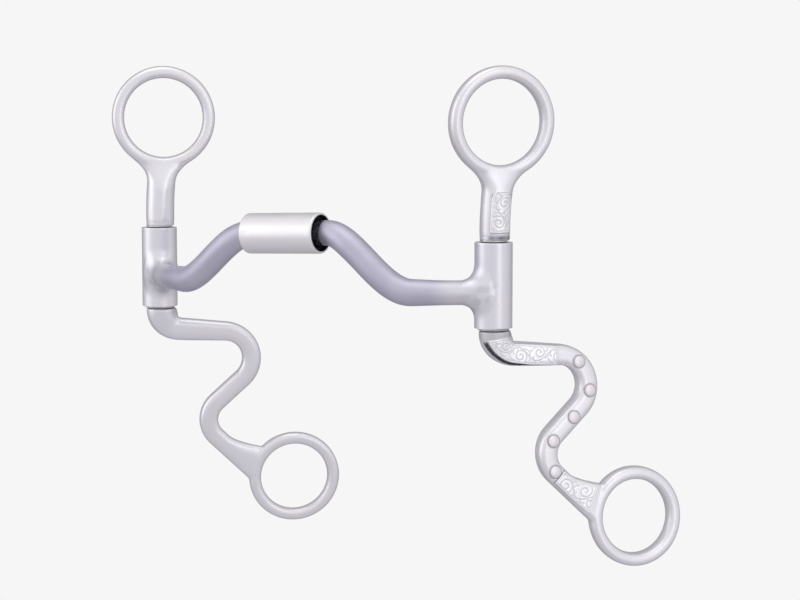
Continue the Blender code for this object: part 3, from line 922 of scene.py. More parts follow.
class ShankPath:
    """Centreline of the S-shaped bar, from the sleeve to the rein ring."""

    stub_u = 0.6 * MM
    stub_drop = 1.6 * MM
    elbow_radius = 6.5 * MM
    elbow_turn = math.radians(86.2)
    level_length = 17.70 * MM
    back_radius = 10.5 * MM
    back_turn = math.radians(133.6)
    middle_length = 13.14 * MM
    front_radius = 9.3 * MM
    front_turn = math.radians(93.4)
    tail_length = 20.6 * MM
    step = 0.25 * MM

    def __init__(self, start_v: float) -> None:
        """Walk along the bar from its upper end.

        Args:
            start_v: height of the bar's upper end.
        """
        moves = [
            (self.stub_drop, 0.0),
            (self.elbow_radius * self.elbow_turn, self.elbow_turn),
            (self.level_length, 0.0),
            (self.back_radius * self.back_turn, -self.back_turn),
            (self.middle_length, 0.0),
            (self.front_radius * self.front_turn, self.front_turn),
            (self.tail_length, 0.0),
        ]
        u, v, heading, distance = self.stub_u, start_v, -math.pi / 2.0, 0.0
        rows = [(u, v, heading, distance)]
        for length, bend in moves:
            steps = max(2, round(length / self.step))
            part, turn = length / steps, bend / steps
            chord = part * (math.sin(turn / 2.0) / (turn / 2.0) if bend else 1.0)
            for _ in range(steps):
                u += chord * math.cos(heading + turn / 2.0)
                v += chord * math.sin(heading + turn / 2.0)
                heading += turn
                distance += part
                rows.append((u, v, heading, distance))
        self.rows = np.array(rows)
        self.length = distance
        self.tail_start = distance - self.tail_length
        self.elbow_end = self.stub_drop + self.elbow_radius * self.elbow_turn

    def at(self, distance: np.ndarray | float) -> tuple[np.ndarray, np.ndarray, np.ndarray]:
        """Centreline (u, v, heading) at a distance along the bar."""
        known = self.rows[:, 3]
        return tuple(np.interp(distance, known, self.rows[:, k]) for k in range(3))

    def nearest(self, u: np.ndarray, v: np.ndarray, low: float, high: float
                ) -> tuple[np.ndarray, np.ndarray]:
        """Distance along the bar and offset to its left side of points of the drawing.

        Args:
            u: first coordinates.
            v: second coordinates.
            low: start of the stretch to look at.
            high: end of the stretch to look at.

        Returns:
            Distances and offsets.
        """
        rows = self.rows[(self.rows[:, 3] >= low) & (self.rows[:, 3] <= high)]
        best = np.zeros(len(u), int)
        closest = np.full(len(u), 1e9)
        for index, (ru, rv, _, _) in enumerate(rows):
            gap = (u - ru) ** 2 + (v - rv) ** 2
            nearer = gap < closest
            closest[nearer] = gap[nearer]
            best[nearer] = index
        row = rows[best]
        du, dv = u - row[:, 0], v - row[:, 1]
        along = du * np.cos(row[:, 2]) + dv * np.sin(row[:, 2])
        left = -du * np.sin(row[:, 2]) + dv * np.cos(row[:, 2])
        return row[:, 3] + along, left


@dataclass(frozen=True)
class BarShape:
    """Section of the S-shaped bar along its length."""

    length: float
    tail_start: float
    stub_width: float = 5.6 * MM
    width: float = 4.2 * MM
    waist_width: float = 3.5 * MM
    waist_from: float = 9.0 * MM
    waist_to: float = 36.0 * MM
    stub_thickness: float = 5.1 * MM
    thickness: float = 3.6 * MM
    end_thickness: float = 2.8 * MM
    stub_end: float = 11.0 * MM
    web_start: float = 4.0 * MM
    web_end: float = 15.0 * MM
    web_spread: float = 5.1 * MM
    web_tuck: float = 19.3 * MM
    gusset: float = 1.2 * MM
    gusset_at: float = 6.6 * MM
    gusset_length: float = 3.2 * MM

    def half_width(self, s: np.ndarray | float) -> np.ndarray | float:
        """Half width below the centreline.

        Args:
            s: distance along the bar.

        Returns:
            The half width.
        """
        base = mix(self.stub_width, self.width, smoothstep(s / self.stub_end))
        waist = smoothstep((s - self.waist_from) / (self.waist_to - self.waist_from))
        return base - (self.width - self.waist_width) * waist

    def half_thickness(self, s: np.ndarray | float) -> np.ndarray | float:
        """Half thickness, from the round stub to the rein ring.

        Args:
            s: distance along the bar.

        Returns:
            The half thickness.
        """
        base = mix(self.stub_thickness, self.thickness, smoothstep(s / self.stub_end))
        thinning = smoothstep((s - 0.62 * self.length) / (0.38 * self.length))
        return base - (self.thickness - self.end_thickness) * thinning

    def web(self, s: np.ndarray | float) -> np.ndarray | float:
        """Extra half width above the centreline, in the elbow and in the rein ring's crotch.

        Args:
            s: distance along the bar.

        Returns:
            The extra half width.
        """
        along = s - self.tail_start
        share = clamp((along - self.web_start) / (self.web_end - self.web_start))
        gusset = self.gusset * np.exp(-(((s - self.gusset_at) / self.gusset_length) ** 2))
        return np.where(along > self.web_tuck, 0.0, self.web_spread * share ** 1.4) + gusset

    def squareness(self, s: np.ndarray | float) -> np.ndarray | float:
        """How square the section is: round at the stub, flat-faced further on."""
        return mix(2.0, 3.3, smoothstep(s / self.stub_end))

    def face(self, s: np.ndarray, left: np.ndarray) -> np.ndarray:
        """Height of the outer face over the bar's middle plane.

        Args:
            s: distance along the bar.
            left: offset to the bar's left side.

        Returns:
            The height.
        """
        half = self.half_width(s) + np.where(left > 0.0, self.web(s), 0.0)
        n = self.squareness(s)
        share = clamp(np.abs(left) / half, 0.0, 0.98)
        return self.half_thickness(s) * (1.0 - share ** n) ** (1.0 / n)


# -------- engraving


@dataclass(frozen=True)
class Engraving:
    """Running scroll cut into an overlay, described in millimetres on the flat plate."""

    length: float
    width: float
    pitch: float
    first_up: bool
    cut_half_width: float = 0.19
    cut_depth: float = 0.09
    puff: float = 0.06
    puff_width: float = 0.35
    rim_width: float = 0.55
    rim_cut: float = 0.10
    rim_cut_depth: float = 0.12
    rim_height: float = 0.05
    rim_slope: float = 0.15
    edge_drop: float = 0.16
    edge_width: float = 0.22
    scroll_offset: float = 0.13
    scroll_size: float = 0.36
    scroll_turns: float = 1.45
    leaf_size: float = 0.40
    leaf_count: int = 7
    vine_size: float = 0.32

    def strokes(self) -> np.ndarray:
        """Centrelines of every cut, as (x, y) rows.

        Returns:
            The rows.
        """
        strokes = [self.vine()]
        reach = min(self.width, self.pitch * 1.15)
        for k in range(max(1, int(self.length / self.pitch)) + 1):
            side = 1.0 if (k % 2 == 0) == self.first_up else -1.0
            centre = ((k + 0.5) * self.pitch, side * self.scroll_offset * self.width)
            strokes.append(self.scroll(centre, self.scroll_size * reach, side))
            strokes += self.leaves(centre, self.leaf_size * reach, side)
        return np.concatenate(strokes)

    def vine(self) -> np.ndarray:
        """Wavy stem that the scrolls grow from.

        Returns:
            (x, y) rows.
        """
        x = np.arange(0.0, self.length, 0.08)
        swing = self.vine_size * self.width * (-1.0 if self.first_up else 1.0)
        return np.stack([x, swing * np.cos(math.pi * (x / self.pitch - 0.5) + 0.4)], 1)

    def scroll(self, centre: tuple[float, float], radius: float, side: float) -> np.ndarray:
        """Spiral that winds in to a fifth of its radius.

        Args:
            centre: its middle.
            radius: its size.
            side: +1 if it winds above the middle, -1 below.

        Returns:
            (x, y) rows.
        """
        turn = np.linspace(0.0, self.scroll_turns * TURN, 90)
        reach = radius * (1.0 - 0.80 * turn / turn[-1])
        angle = -side * turn + RIGHT_ANGLE * side + 1.0
        return np.stack([centre[0] + reach * np.cos(angle), centre[1] + reach * np.sin(angle)], 1)

    def leaves(self, centre: tuple[float, float], radius: float, side: float) -> list[np.ndarray]:
        """Short curved cuts that fan out around a scroll.

        Args:
            centre: middle of the scroll.
            radius: its size.
            side: which way they bend, +1 or -1.

        Returns:
            (x, y) rows of each leaf.
        """
        t = np.linspace(0.0, 1.0, 14)
        reach = radius * (0.98 + 0.42 * t)
        strokes = []
        for k in range(self.leaf_count):
            bend = TURN * k / self.leaf_count + 0.2 + side * 0.55 * t * t
            strokes.append(
                np.stack([centre[0] + reach * np.cos(bend), centre[1] + reach * np.sin(bend)], 1)
            )
        return strokes

    def relief(self, x: np.ndarray, y: np.ndarray, edge: np.ndarray) -> tuple[np.ndarray, np.ndarray]:
        """Height and depth of cut at points of the plate.

        Args:
            x: along the plate.
            y: across the plate.
            edge: distance to the plate's edge.

        Returns:
            Height over the plate's face, and how much of a cut there is, from 0 to 1.
        """
        gap = np.full(len(x), FAR)
        for sx, sy in self.strokes():
            gap = np.minimum(gap, (x - sx) ** 2 + (y - sy) ** 2)
        gap = np.sqrt(gap)
        oxide_and_shade = bell(gap, self.cut_half_width)
        puff = self.puff * (1.0 - np.exp(-gap / self.puff_width))
        inside = smoothstep((edge - self.rim_width) / self.rim_slope)
        border = bell(edge - self.rim_width, self.rim_cut)
        height = inside * (puff - self.cut_depth * oxide_and_shade) - self.rim_cut_depth * border
        height = height + (1.0 - inside) * self.rim_height
        height = height - self.edge_drop * (1.0 - smoothstep(edge / self.edge_width))
        return height, np.maximum(inside * oxide_and_shade, 0.9 * border)


# -------- cheeks


@dataclass
class Cheek:
    """One cheek: neck with the headstall ring, S-shaped bar with the rein ring, trim."""

    side: Side
    drawing: CheekFrame
    grain: float = 0.30 * MM
    neck_radius: float = 5.2 * MM
    neck_u: float = 0.4 * MM
    neck_foot: float = 15.25 * MM
    neck_edge: float = 0.35 * MM
    lean_start: float = 19.0 * MM
    neck_straight_top: float = 31.0 * MM
    neck_reach: float = 10.5 * MM
    neck_spread: float = 9.2 * MM
    neck_power: float = 2.2
    neck_top: float = 43.0 * MM
    neck_merge: float = 38.6 * MM
    flatten_start: float = 28.0 * MM
    flatten_length: float = 12.0 * MM
    collar_at: float = 16.2 * MM
    collar_width: float = 0.8 * MM
    groove_at: float = 16.4 * MM
    groove_width: float = 0.55 * MM
    collar_groove: float = 0.12 * MM
    bar_edge: float = 0.4 * MM
    headstall_centre: tuple[float, float] = (2.1 * MM, 55.1 * MM)
    headstall_hole: float = 14.5 * MM
    rein_centre: tuple[float, float] = (50.7 * MM, -81.8 * MM)
    rein_hole: float = 12.75 * MM
    ring_width: float = 4.5 * MM
    ring_half_thickness: float = 2.9 * MM
    ring_squareness: float = 2.7
    plate_lift: float = 0.42 * MM
    plate_sink: float = 0.6 * MM
    line_width: float = 0.22 * MM
    slot_depth: float = 0.55 * MM
    stud_radius: float = 2.15 * MM
    stud_count: int = 5
    dome_height: float = 0.34 * MM
    crotches: tuple[tuple[float, float, float], ...] = (
        (33.4 * MM, -70.0 * MM, 6.5 * MM),
        (34.4 * MM, -85.0 * MM, 7.0 * MM),
        (5.6 * MM, -18.6 * MM, 4.0 * MM),
    )

    def __post_init__(self) -> None:
        """Trace the bar."""
        self.path = ShankPath(-self.drawing.lower_start)
        self.bar = BarShape(self.path.length, self.path.tail_start)

    @property
    def body(self) -> str:
        """The body that this cheek's pieces ride on."""
        return self.side.name("cheek")

    def settle(self, obj: bpy.types.Object, node: str, finish: MetalFinish) -> None:
        """Dress a finished piece and let it stand for its node.

        Args:
            obj: the piece.
            node: the node it stands for.
            finish: its finish.
        """
        Bench.smooth(obj)
        dress(obj, finish)
        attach(obj, self.body)
        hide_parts(self.side.name(node))
        report(obj)

    # -- rings and bars

    def ring(self, name: str, centre: tuple[float, float], hole: float) -> bpy.types.Object:
        """Ring with rounded edges round a point of the drawing.

        Args:
            name: name of the new piece.
            centre: (u, v) of its middle.
            hole: radius of its hole.

        Returns:
            The ring.
        """
        obj = Bench.ring(name, 180, 32)
        flat = Bench.places(obj)
        around = np.arctan2(flat[:, 1], flat[:, 0])
        tilt = np.arctan2(flat[:, 2], np.hypot(flat[:, 0], flat[:, 1]) - 2.0)
        half_width = self.ring_width / 2.0
        through = squared(np.sin(tilt), self.ring_squareness) * self.ring_half_thickness
        radius = hole + half_width + squared(np.cos(tilt), self.ring_squareness) * half_width
        u = centre[0] + radius * np.cos(around)
        v = centre[1] + radius * np.sin(around)
        Bench.place(obj, self.drawing.points(u, v, through))
        return obj

    def neck_centre(self, v: np.ndarray | float) -> np.ndarray | float:
        """Sideways place of the neck: it leans towards the middle of the ring."""
        share = clamp((v - self.lean_start) / (self.neck_merge + 2.0 * MM - self.lean_start))
        return mix(self.neck_u, self.headstall_centre[0], share ** 2)

    def neck_half_width(self, v: float) -> float:
        """Half width of the neck: a trumpet that runs into the ring's outer edge.

        Args:
            v: height over the middle of the sleeve.

        Returns:
            The half width.
        """
        share = max(v - self.neck_straight_top, 0.0) / self.neck_reach
        trumpet = self.neck_radius + self.neck_spread * share ** self.neck_power
        outer = self.headstall_hole + self.ring_width
        drop = self.headstall_centre[1] - v
        rim = math.sqrt(max(outer * outer - drop * drop, 0.0)) - 0.8 * MM
        merge = float(smoothstep((v - self.neck_merge) / (self.neck_top - self.neck_merge)))
        return float(mix(trumpet, rim, merge))

    def neck(self) -> bpy.types.Object:
        """Neck that turns from a round stub into a flat trumpet.

        Returns:
            The neck.
        """
        start = self.neck_foot
        heights = [start, start + 0.12 * MM, start + 0.4 * MM]
        heights += list(np.arange(start + 0.8 * MM, self.neck_top, 0.4 * MM))
        rings = []
        for v in heights:
            share = float(clamp((v - self.flatten_start) / self.flatten_length))
            edge = max(self.neck_edge - (v - start), 0.0) * 0.9
            groove = float(bell(v - self.groove_at, self.groove_width)) * self.collar_groove
            across = self.neck_half_width(v) - edge - groove
            through = float(mix(self.neck_radius, self.ring_half_thickness, smoothstep(share)))
            section = oval(across, through - edge - groove, mix(2.0, 2.9, share), 64)
            u = self.neck_centre(v) + section[:, 0]
            rings.append(self.drawing.points(u, v, section[:, 1]))
        return Bench.sweep("neck", rings)

    def build_purchase(self) -> None:
        """Melt the neck into the headstall ring."""
        neck = self.neck()
        Bench.outward(neck)
        self.cut_hole(neck)
        ring = self.ring("headstall", self.headstall_centre, self.headstall_hole)
        obj = Bench.join(self.side.name("purchase_skin"), [neck, ring])
        Bench.melt(obj, self.grain, 4)
        u, v, _ = self.drawing.drawing(Bench.places(obj))
        blend = smoothstep((v - 36.0 * MM) / (3.0 * MM)) * smoothstep((48.0 * MM - v) / (4.0 * MM))
        out = np.hypot(u - self.headstall_centre[0], v - self.headstall_centre[1])
        off_hole = smoothstep((out - self.headstall_hole - 0.6 * MM) / (0.8 * MM))
        Bench.soften(obj, blend * off_hole, 30)
        self.age_and_shade_purchase(obj)
        self.settle(obj, "purchase", Finishes.CHEEK)

    def age_and_shade_purchase(self, obj: bpy.types.Object) -> None:
        """Mark the dark lines round the overlay and the dark collar over the sleeve: oxide and painted
        shade in these recesses.

        Args:
            obj: the piece.
        """
        u, v, w = self.drawing.drawing(Bench.places(obj))
        plate = NeckPlate()
        angle = np.arctan2(u - self.neck_centre(v), w)
        beside = (v > plate.bottom) & (v < plate.top - 1.0 * MM) & (w > 0.0)
        side_gap = np.abs(np.abs(angle) - plate.half_angle) * self.neck_radius
        # Oxide and painted shade along the plate's sides and under its foot.
        sides = np.where(beside, bell(side_gap, 0.28 * MM), 0.0) * 0.45
        under = np.abs(angle) < plate.half_angle
        foot = np.where(under, bell(v - plate.bottom, 0.25 * MM), 0.0) * 0.7
        # Oxide and painted shade in the groove between the neck and the sleeve.
        outside = smoothstep((1.25 - np.abs(angle - 0.15)) / 0.5)
        blotch = 0.75 + 0.25 * np.sin(5.0 * angle + 1.0) * np.cos(3.0 * angle)
        collar = bell(v - self.collar_at, self.collar_width) * (0.12 + 0.88 * outside) * blotch
        Bench.mark(obj, "oxide_and_shade", np.maximum.reduce([sides, foot, 0.85 * collar]))
        Bench.mark(obj, "raw", np.zeros(len(u)))

    def cut_hole(self, neck: bpy.types.Object) -> None:
        """Open the neck where the headstall ring's hole passes.

        Args:
            neck: the neck.
        """
        angle = circle(96)
        radius = self.headstall_hole + 0.9 * MM
        u = self.headstall_centre[0] + radius * np.cos(angle)
        v = self.headstall_centre[1] + radius * np.sin(angle)
        far = 12.0 * MM
        cutter = Bench.sweep("hole", [self.drawing.points(u, v, w) for w in (-far, far)])
        Bench.outward(cutter)
        Bench.modifier(neck, "BOOLEAN", operation="DIFFERENCE", solver="EXACT", object=cutter)
        bpy.data.objects.remove(cutter)

    def bar_skin(self) -> bpy.types.Object:
        """S-shaped bar, round at the stub and flat-faced further on.

        Returns:
            The bar.
        """
        stations = np.linspace(0.0, self.path.length, 190)
        rings = []
        for s in [0.0, 0.12 * MM, 0.45 * MM, *stations[2:]]:
            u, v, heading = self.path.at(s)
            edge = max(self.bar_edge - s, 0.0) * 0.9
            half = float(self.bar.half_width(s)) - edge
            thick = float(self.bar.half_thickness(s)) - edge
            section = oval(half, thick, float(self.bar.squareness(s)), 56)
            above = (half + float(self.bar.web(s))) / half
            a = section[:, 0] * np.where(section[:, 0] > 0.0, above, 1.0)
            rings.append(
                self.drawing.points(u - a * np.sin(heading), v + a * np.cos(heading), section[:, 1])
            )
        return Bench.sweep("bar", rings)

    def build_shank(self) -> None:
        """Melt the bar into the rein ring, with a slot beside the level overlay."""
        bar = self.bar_skin()
        ring = self.ring("rein", self.rein_centre, self.rein_hole)
        obj = Bench.join(self.side.name("shank_skin"), [bar, ring])
        Bench.melt(obj, self.grain, 4)
        u, v, _ = self.drawing.drawing(Bench.places(obj))
        blend = np.zeros(len(u))
        for cu, cv, reach in self.crotches:
            away = np.hypot(u - cu, v - cv)
            blend = np.maximum(blend, smoothstep((reach - away) / (0.6 * reach)))
        Bench.soften(obj, blend, 30)
        self.age_and_shade_shank(obj)
        self.settle(obj, "shank", Finishes.CHEEK)

    def level_cuts(self, s: np.ndarray, left: np.ndarray) -> tuple[np.ndarray, np.ndarray]:
        """Slot and dark plate lines round the level overlay; the lines are oxide and painted shade.

        Args:
            s: distances along the bar.
            left: offsets to its left side.

        Returns:
            The slot, and the lines over and behind the plate, each from 0 to 1.
        """
        plate = self.level_plate()
        width = np.interp(s, [0.0, 9.0 * MM, 13.0 * MM, 17.0 * MM],
                          [1.0 * MM, 1.0 * MM, 0.7 * MM, 0.25 * MM])
        into = (plate.lower(s) - left) / width
        slot = smoothstep((into + 0.12) / 0.15) * smoothstep((1.1 - into) / 0.18)
        along = smoothstep((s - plate.start) / (0.8 * MM)) * smoothstep((plate.end - s) / (0.5 * MM))
        top = bell(left - plate.upper(s), self.line_width) * along * 0.5
        end = bell(s - plate.end, self.line_width) * 0.4 * (np.abs(left) < 3.6 * MM)
        return slot * along, np.maximum(top, end)

    def stud_grooves(self, u: np.ndarray, v: np.ndarray) -> np.ndarray:
        """Grooves round the studs, from 0 to 1.

        Args:
            u: first coordinates of the drawing.
            v: second coordinates.

        Returns:
            How deep in a groove each point is.
        """
        grooves = np.zeros(len(u))
        for cu, cv, _ in self.stud_places():
            away = np.hypot(u - cu, v - cv)
            grooves = np.maximum(grooves, bell(away - self.stud_radius - 0.08 * MM, 0.20 * MM))
        return grooves

    def rein_cuts(self, u: np.ndarray, v: np.ndarray) -> np.ndarray:
        """Dark lines before and under the rein overlay, oxide and painted shade, from 0 to 1.

        Args:
            u: first coordinates of the drawing.
            v: second coordinates.

        Returns:
            How deep in a line each point is.
        """
        plate = self.rein_plate()
        s, left = self.path.nearest(u, v, self.path.tail_start - 2.0 * MM, self.path.length)
        start = bell(s - plate.start, self.line_width) * (np.abs(left) < 3.0 * MM)
        beside = (s > plate.start) & (s < plate.end)
        return np.maximum(start, bell(left - plate.lower(s), self.line_width) * beside * 0.55)

    def age_and_shade_shank(self, obj: bpy.types.Object) -> None:
        """Cut the slot beside the level overlay and the grooves round the studs, and darken them and
        the plate lines with oxide and painted shade.

        Args:
            obj: the piece.
        """
        places = Bench.places(obj)
        u, v, w = self.drawing.drawing(places)
        s, left = self.path.nearest(u, v, 0.0, 40.0 * MM)
        outer = smoothstep((w - 0.3 * MM) / (0.8 * MM)) * (u < 30.0 * MM)
        slot, lines = self.level_cuts(s, left)
        slot, lines = slot * outer, lines * outer
        grooves = self.stud_grooves(u, v) * (w > 0.0)
        tail = self.rein_cuts(u, v) * (w > 1.0 * MM)
        # Darker along the elbow's inner corner.
        crook = smoothstep((left - 3.0 * MM) / (0.8 * MM)) * smoothstep((9.0 * MM - s) / (3.0 * MM))
        # Oxide and painted shade in the slot, along the plates' edges and in the stud grooves.
        oxide_and_shade = np.maximum.reduce([slot, lines, grooves * 0.60, tail * 0.9, 0.28 * crook])
        turn = self.drawing.swivel
        inward = -self.side.sign * np.array([-math.sin(turn), math.cos(turn), 0.0])
        depth = np.maximum.reduce([self.slot_depth * slot, 0.12 * MM * grooves, 0.10 * MM * tail])
        Bench.place(obj, places - depth[:, None] * inward)
        Bench.mark(obj, "oxide_and_shade", oxide_and_shade)
        stub = smoothstep((2.8 * MM - s) / (0.6 * MM)) * (v > -24.0 * MM)
        Bench.mark(obj, "raw", stub * (0.1 if self.side is Side.LEFT else 0.5))

    # -- overlays

    def level_plate(self) -> "BarPlate":
        """Overlay on the level part of the bar."""
        return BarPlate(
            self.path.stub_drop + 0.9 * MM, self.path.elbow_end + 15.5 * MM,
            (0.0, 0.14, 0.38, 0.7, 1.0), (2.5, 3.7, 3.6, 3.5, 3.2),
            (0.0, 0.10, 0.20, 0.32, 0.5, 0.62, 1.0), (-4.3, -3.5, -2.9, -2.8, -3.2, -3.45, -3.3),
        )

    def rein_plate(self) -> "BarPlate":
        """Fan-shaped overlay at the rein ring."""
        start = self.path.tail_start + 0.8 * MM
        return BarPlate(
            start, start + 15.0 * MM,
            (0.0, 0.43, 0.6, 0.87, 1.0), (2.4, 3.6, 4.8, 6.3, 6.6),
            (0.0, 0.5, 1.0), (-2.8, -2.8, -2.3), fan=3.2 * MM,
        )

    def build_overlays(self) -> None:
        """Engrave the three overlays."""
        self.engrave_neck()
        self.engrave_bar(self.level_plate(), "level_overlay", 250, 84,
                         Engraving(25.7, 6.6, 7.0, True))
        self.engrave_bar(self.rein_plate(), "rein_overlay", 150, 90,
                         Engraving(15.0, 8.0, 7.2, False))

    def engrave_bar(self, plate: "BarPlate", node: str, columns: int, rows: int,
                    engraving: Engraving) -> None:
        """Lay an engraved plate on the bar's outer face.

        Args:
            plate: the plate's outline.
            node: the node that it stands for.
            columns: grid points along the plate.
            rows: grid points across the plate.
            engraving: the scroll that is cut into it.
        """
        marks: dict[str, np.ndarray] = {}
        length = plate.end - plate.start

        def place(along: np.ndarray, across: np.ndarray) -> tuple[np.ndarray, np.ndarray]:
            """Put the grid on the bar."""
            low, high = plate.lower_at(along), plate.upper_at(along)
            left = mix(low, high, across)
            s = plate.start + along * length
            s = s + plate.fan * along * (0.5 - across) * 1.1
            x = (s - plate.start) / MM
            y = (left - 0.5 * (low + high)) / MM
            edge = np.minimum.reduce([
                across * (high - low), (1.0 - across) * (high - low),
                along * length, (1.0 - along) * length,
            ]) / MM
            relief, marks["oxide_and_shade"] = engraving.relief(x, y, edge)
            u, v, heading = self.path.at(np.minimum(s, self.path.length))
            beyond = np.maximum(s - self.path.length, 0.0)
            u = u + beyond * np.cos(heading) - left * np.sin(heading)
            v = v + beyond * np.sin(heading) + left * np.cos(heading)
            face = mix(self.bar.face(s, left), self.bar.half_thickness(s), 0.30)
            top = self.drawing.points(u, v, face + self.plate_lift + relief * MM)
            return top, self.drawing.points(u, v, face - self.plate_sink)

        self.lay(node, columns, rows, place, marks)

    def engrave_neck(self) -> None:
        """Lay the engraved plate round the outer side of the neck."""
        plate = NeckPlate()
        engraving = Engraving(14.2, 6.6, 6.6, False)
        marks: dict[str, np.ndarray] = {}

        def place(along: np.ndarray, across: np.ndarray) -> tuple[np.ndarray, np.ndarray]:
            """Put the grid on the neck."""
            v = mix(plate.bottom, plate.top, along)
            half = plate.half_angle * (1.0 - 0.35 * smoothstep((along - 0.78) / 0.22))
            angle = mix(-half, half, across)
            radius = self.neck_radius
            edge = np.minimum.reduce([
                (half - np.abs(angle)) * radius, v - plate.bottom, plate.top - v,
            ]) / MM
            relief, marks["oxide_and_shade"] = engraving.relief((v - plate.bottom) / MM, angle * radius / MM, edge)
            top = radius + self.plate_lift + relief * MM
            bottom = radius - self.plate_sink
            u = self.neck_centre(v)
            return (
                self.drawing.points(u + top * np.sin(angle), v, top * np.cos(angle)),
                self.drawing.points(u + bottom * np.sin(angle), v, bottom * np.cos(angle)),
            )

        self.lay("neck_overlay", 150, 78, place, marks)

    def lay(self, node: str, columns: int, rows: int, place: Callable, marks: dict) -> None:
        """Make an overlay's plate and finish it.

        Args:
            node: the node that it stands for.
            columns: grid points along the plate.
            rows: grid points across the plate.
            place: puts the grid on the cheek and fills in marks.
            marks: where place leaves the depth of cut of each point.
        """
        obj = Bench.sheet(self.side.name(node + "_engraved"), columns, rows, place)
        Bench.mark(obj, "oxide_and_shade", marks["oxide_and_shade"])
        Bench.outward(obj)
        self.settle(obj, node, Finishes.OVERLAY)

    # -- studs

    def stud_distances(self) -> np.ndarray:
        """Distances along the bar at which the studs sit."""
        first = self.path.elbow_end + self.path.level_length + 6.5 * MM
        return np.linspace(first, self.path.tail_start - 1.5 * MM, self.stud_count)

    def stud_places(self) -> list[tuple[float, float, float]]:
        """(u, v, distance) of each stud."""
        return [(*[float(c) for c in self.path.at(s)[:2]], float(s)) for s in self.stud_distances()]

    def build_studs(self) -> None:
        """Low silver domes, each with a rolled rim and a dark groove round it; the rim's foot gets
        oxide and painted shade.
        """
        radius = self.stud_radius
        angle = circle(40)
        profile = [(radius * 0.98, -0.6 * MM), (radius, 0.02 * MM), (radius * 0.97, 0.08 * MM)]
        for tilt in np.linspace(0.0, RIGHT_ANGLE, 12):
            reach = 0.93 * radius * math.cos(tilt)
            profile.append((max(reach, 0.04 * MM), 0.10 * MM + self.dome_height * math.sin(tilt)))
        for number, (cu, cv, s) in enumerate(self.stud_places(), start=1):
            face = float(self.bar.half_thickness(s))
            rings = []
            for reach, height in profile:
                rings.append(self.drawing.points(
                    cu + reach * np.cos(angle), cv + reach * np.sin(angle), face + height))
            obj = Bench.sweep(self.side.name(f"stud_{number}_dome"), rings)
            Bench.outward(obj)
            u, v, w = self.drawing.drawing(Bench.places(obj))
            # Oxide and painted shade at the foot of the rim.
            rim = bell(w - face - 0.09 * MM, 0.05 * MM)
            Bench.mark(obj, "oxide_and_shade", rim * (np.hypot(u - cu, v - cv) > 0.85 * radius) * 0.45)
            self.settle(obj, f"stud_{number}", Finishes.STUD)

    def build(self) -> None:
        """Make every piece of this cheek."""
        self.build_purchase()
        self.build_shank()
        self.build_overlays()
        self.build_studs()
        dress(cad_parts[self.side.name("swivel_pin")], Finishes.PIN)


@dataclass(frozen=True)
class NeckPlate:
    """Outline of the overlay on the neck."""

    bottom: float = 18.0 * MM
    top: float = 32.2 * MM
    half_angle: float = math.radians(40.0)


class BarPlate:
    """Outline of an overlay on the bar: two edges along a stretch of the centreline."""

    def __init__(self, start: float, end: float, upper_share: Sequence[float],
                 upper_mm: Sequence[float], lower_share: Sequence[float],
                 lower_mm: Sequence[float], fan: float = 0.0) -> None:
        """Keep the outline.

        Args:
            start: where it starts along the bar.
            end: where it ends along the bar.
            upper_share: places of the upper edge's points, from 0 to 1.
            upper_mm: how far they lie to the left of the centreline.
            lower_share: places of the lower edge's points.
            lower_mm: how far they lie to the left of the centreline.
            fan: how much further the lower edge runs than the upper one.
        """
        self.start = start
        self.end = end
        self.fan = fan
        self.fine = np.linspace(0.0, 1.0, 201)
        self.upper_line = self.eased(np.interp(self.fine, upper_share, upper_mm)) * MM
        self.lower_line = self.eased(np.interp(self.fine, lower_share, lower_mm)) * MM

    @staticmethod
    def eased(line: np.ndarray) -> np.ndarray:
        """Round the corners of a line of evenly spaced values.

        Args:
            line: the values.

        Returns:
            The eased values.
        """
        kernel = np.hanning(33)
        padded = np.pad(line, 16, mode="reflect", reflect_type="odd")
        return np.convolve(padded, kernel / kernel.sum(), mode="valid")

    def upper_at(self, share: np.ndarray) -> np.ndarray:
        """Upper edge at a share of the length."""
        return np.interp(share, self.fine, self.upper_line)

    def lower_at(self, share: np.ndarray) -> np.ndarray:
        """Lower edge at a share of the length."""
        return np.interp(share, self.fine, self.lower_line)

    def upper(self, s: np.ndarray) -> np.ndarray:
        """Upper edge at a distance along the bar."""
        return self.upper_at((s - self.start) / (self.end - self.start))

    def lower(self, s: np.ndarray) -> np.ndarray:
        """Lower edge at a distance along the bar."""
        return self.lower_at((s - self.start) / (self.end - self.start))


# -------- mouthpiece


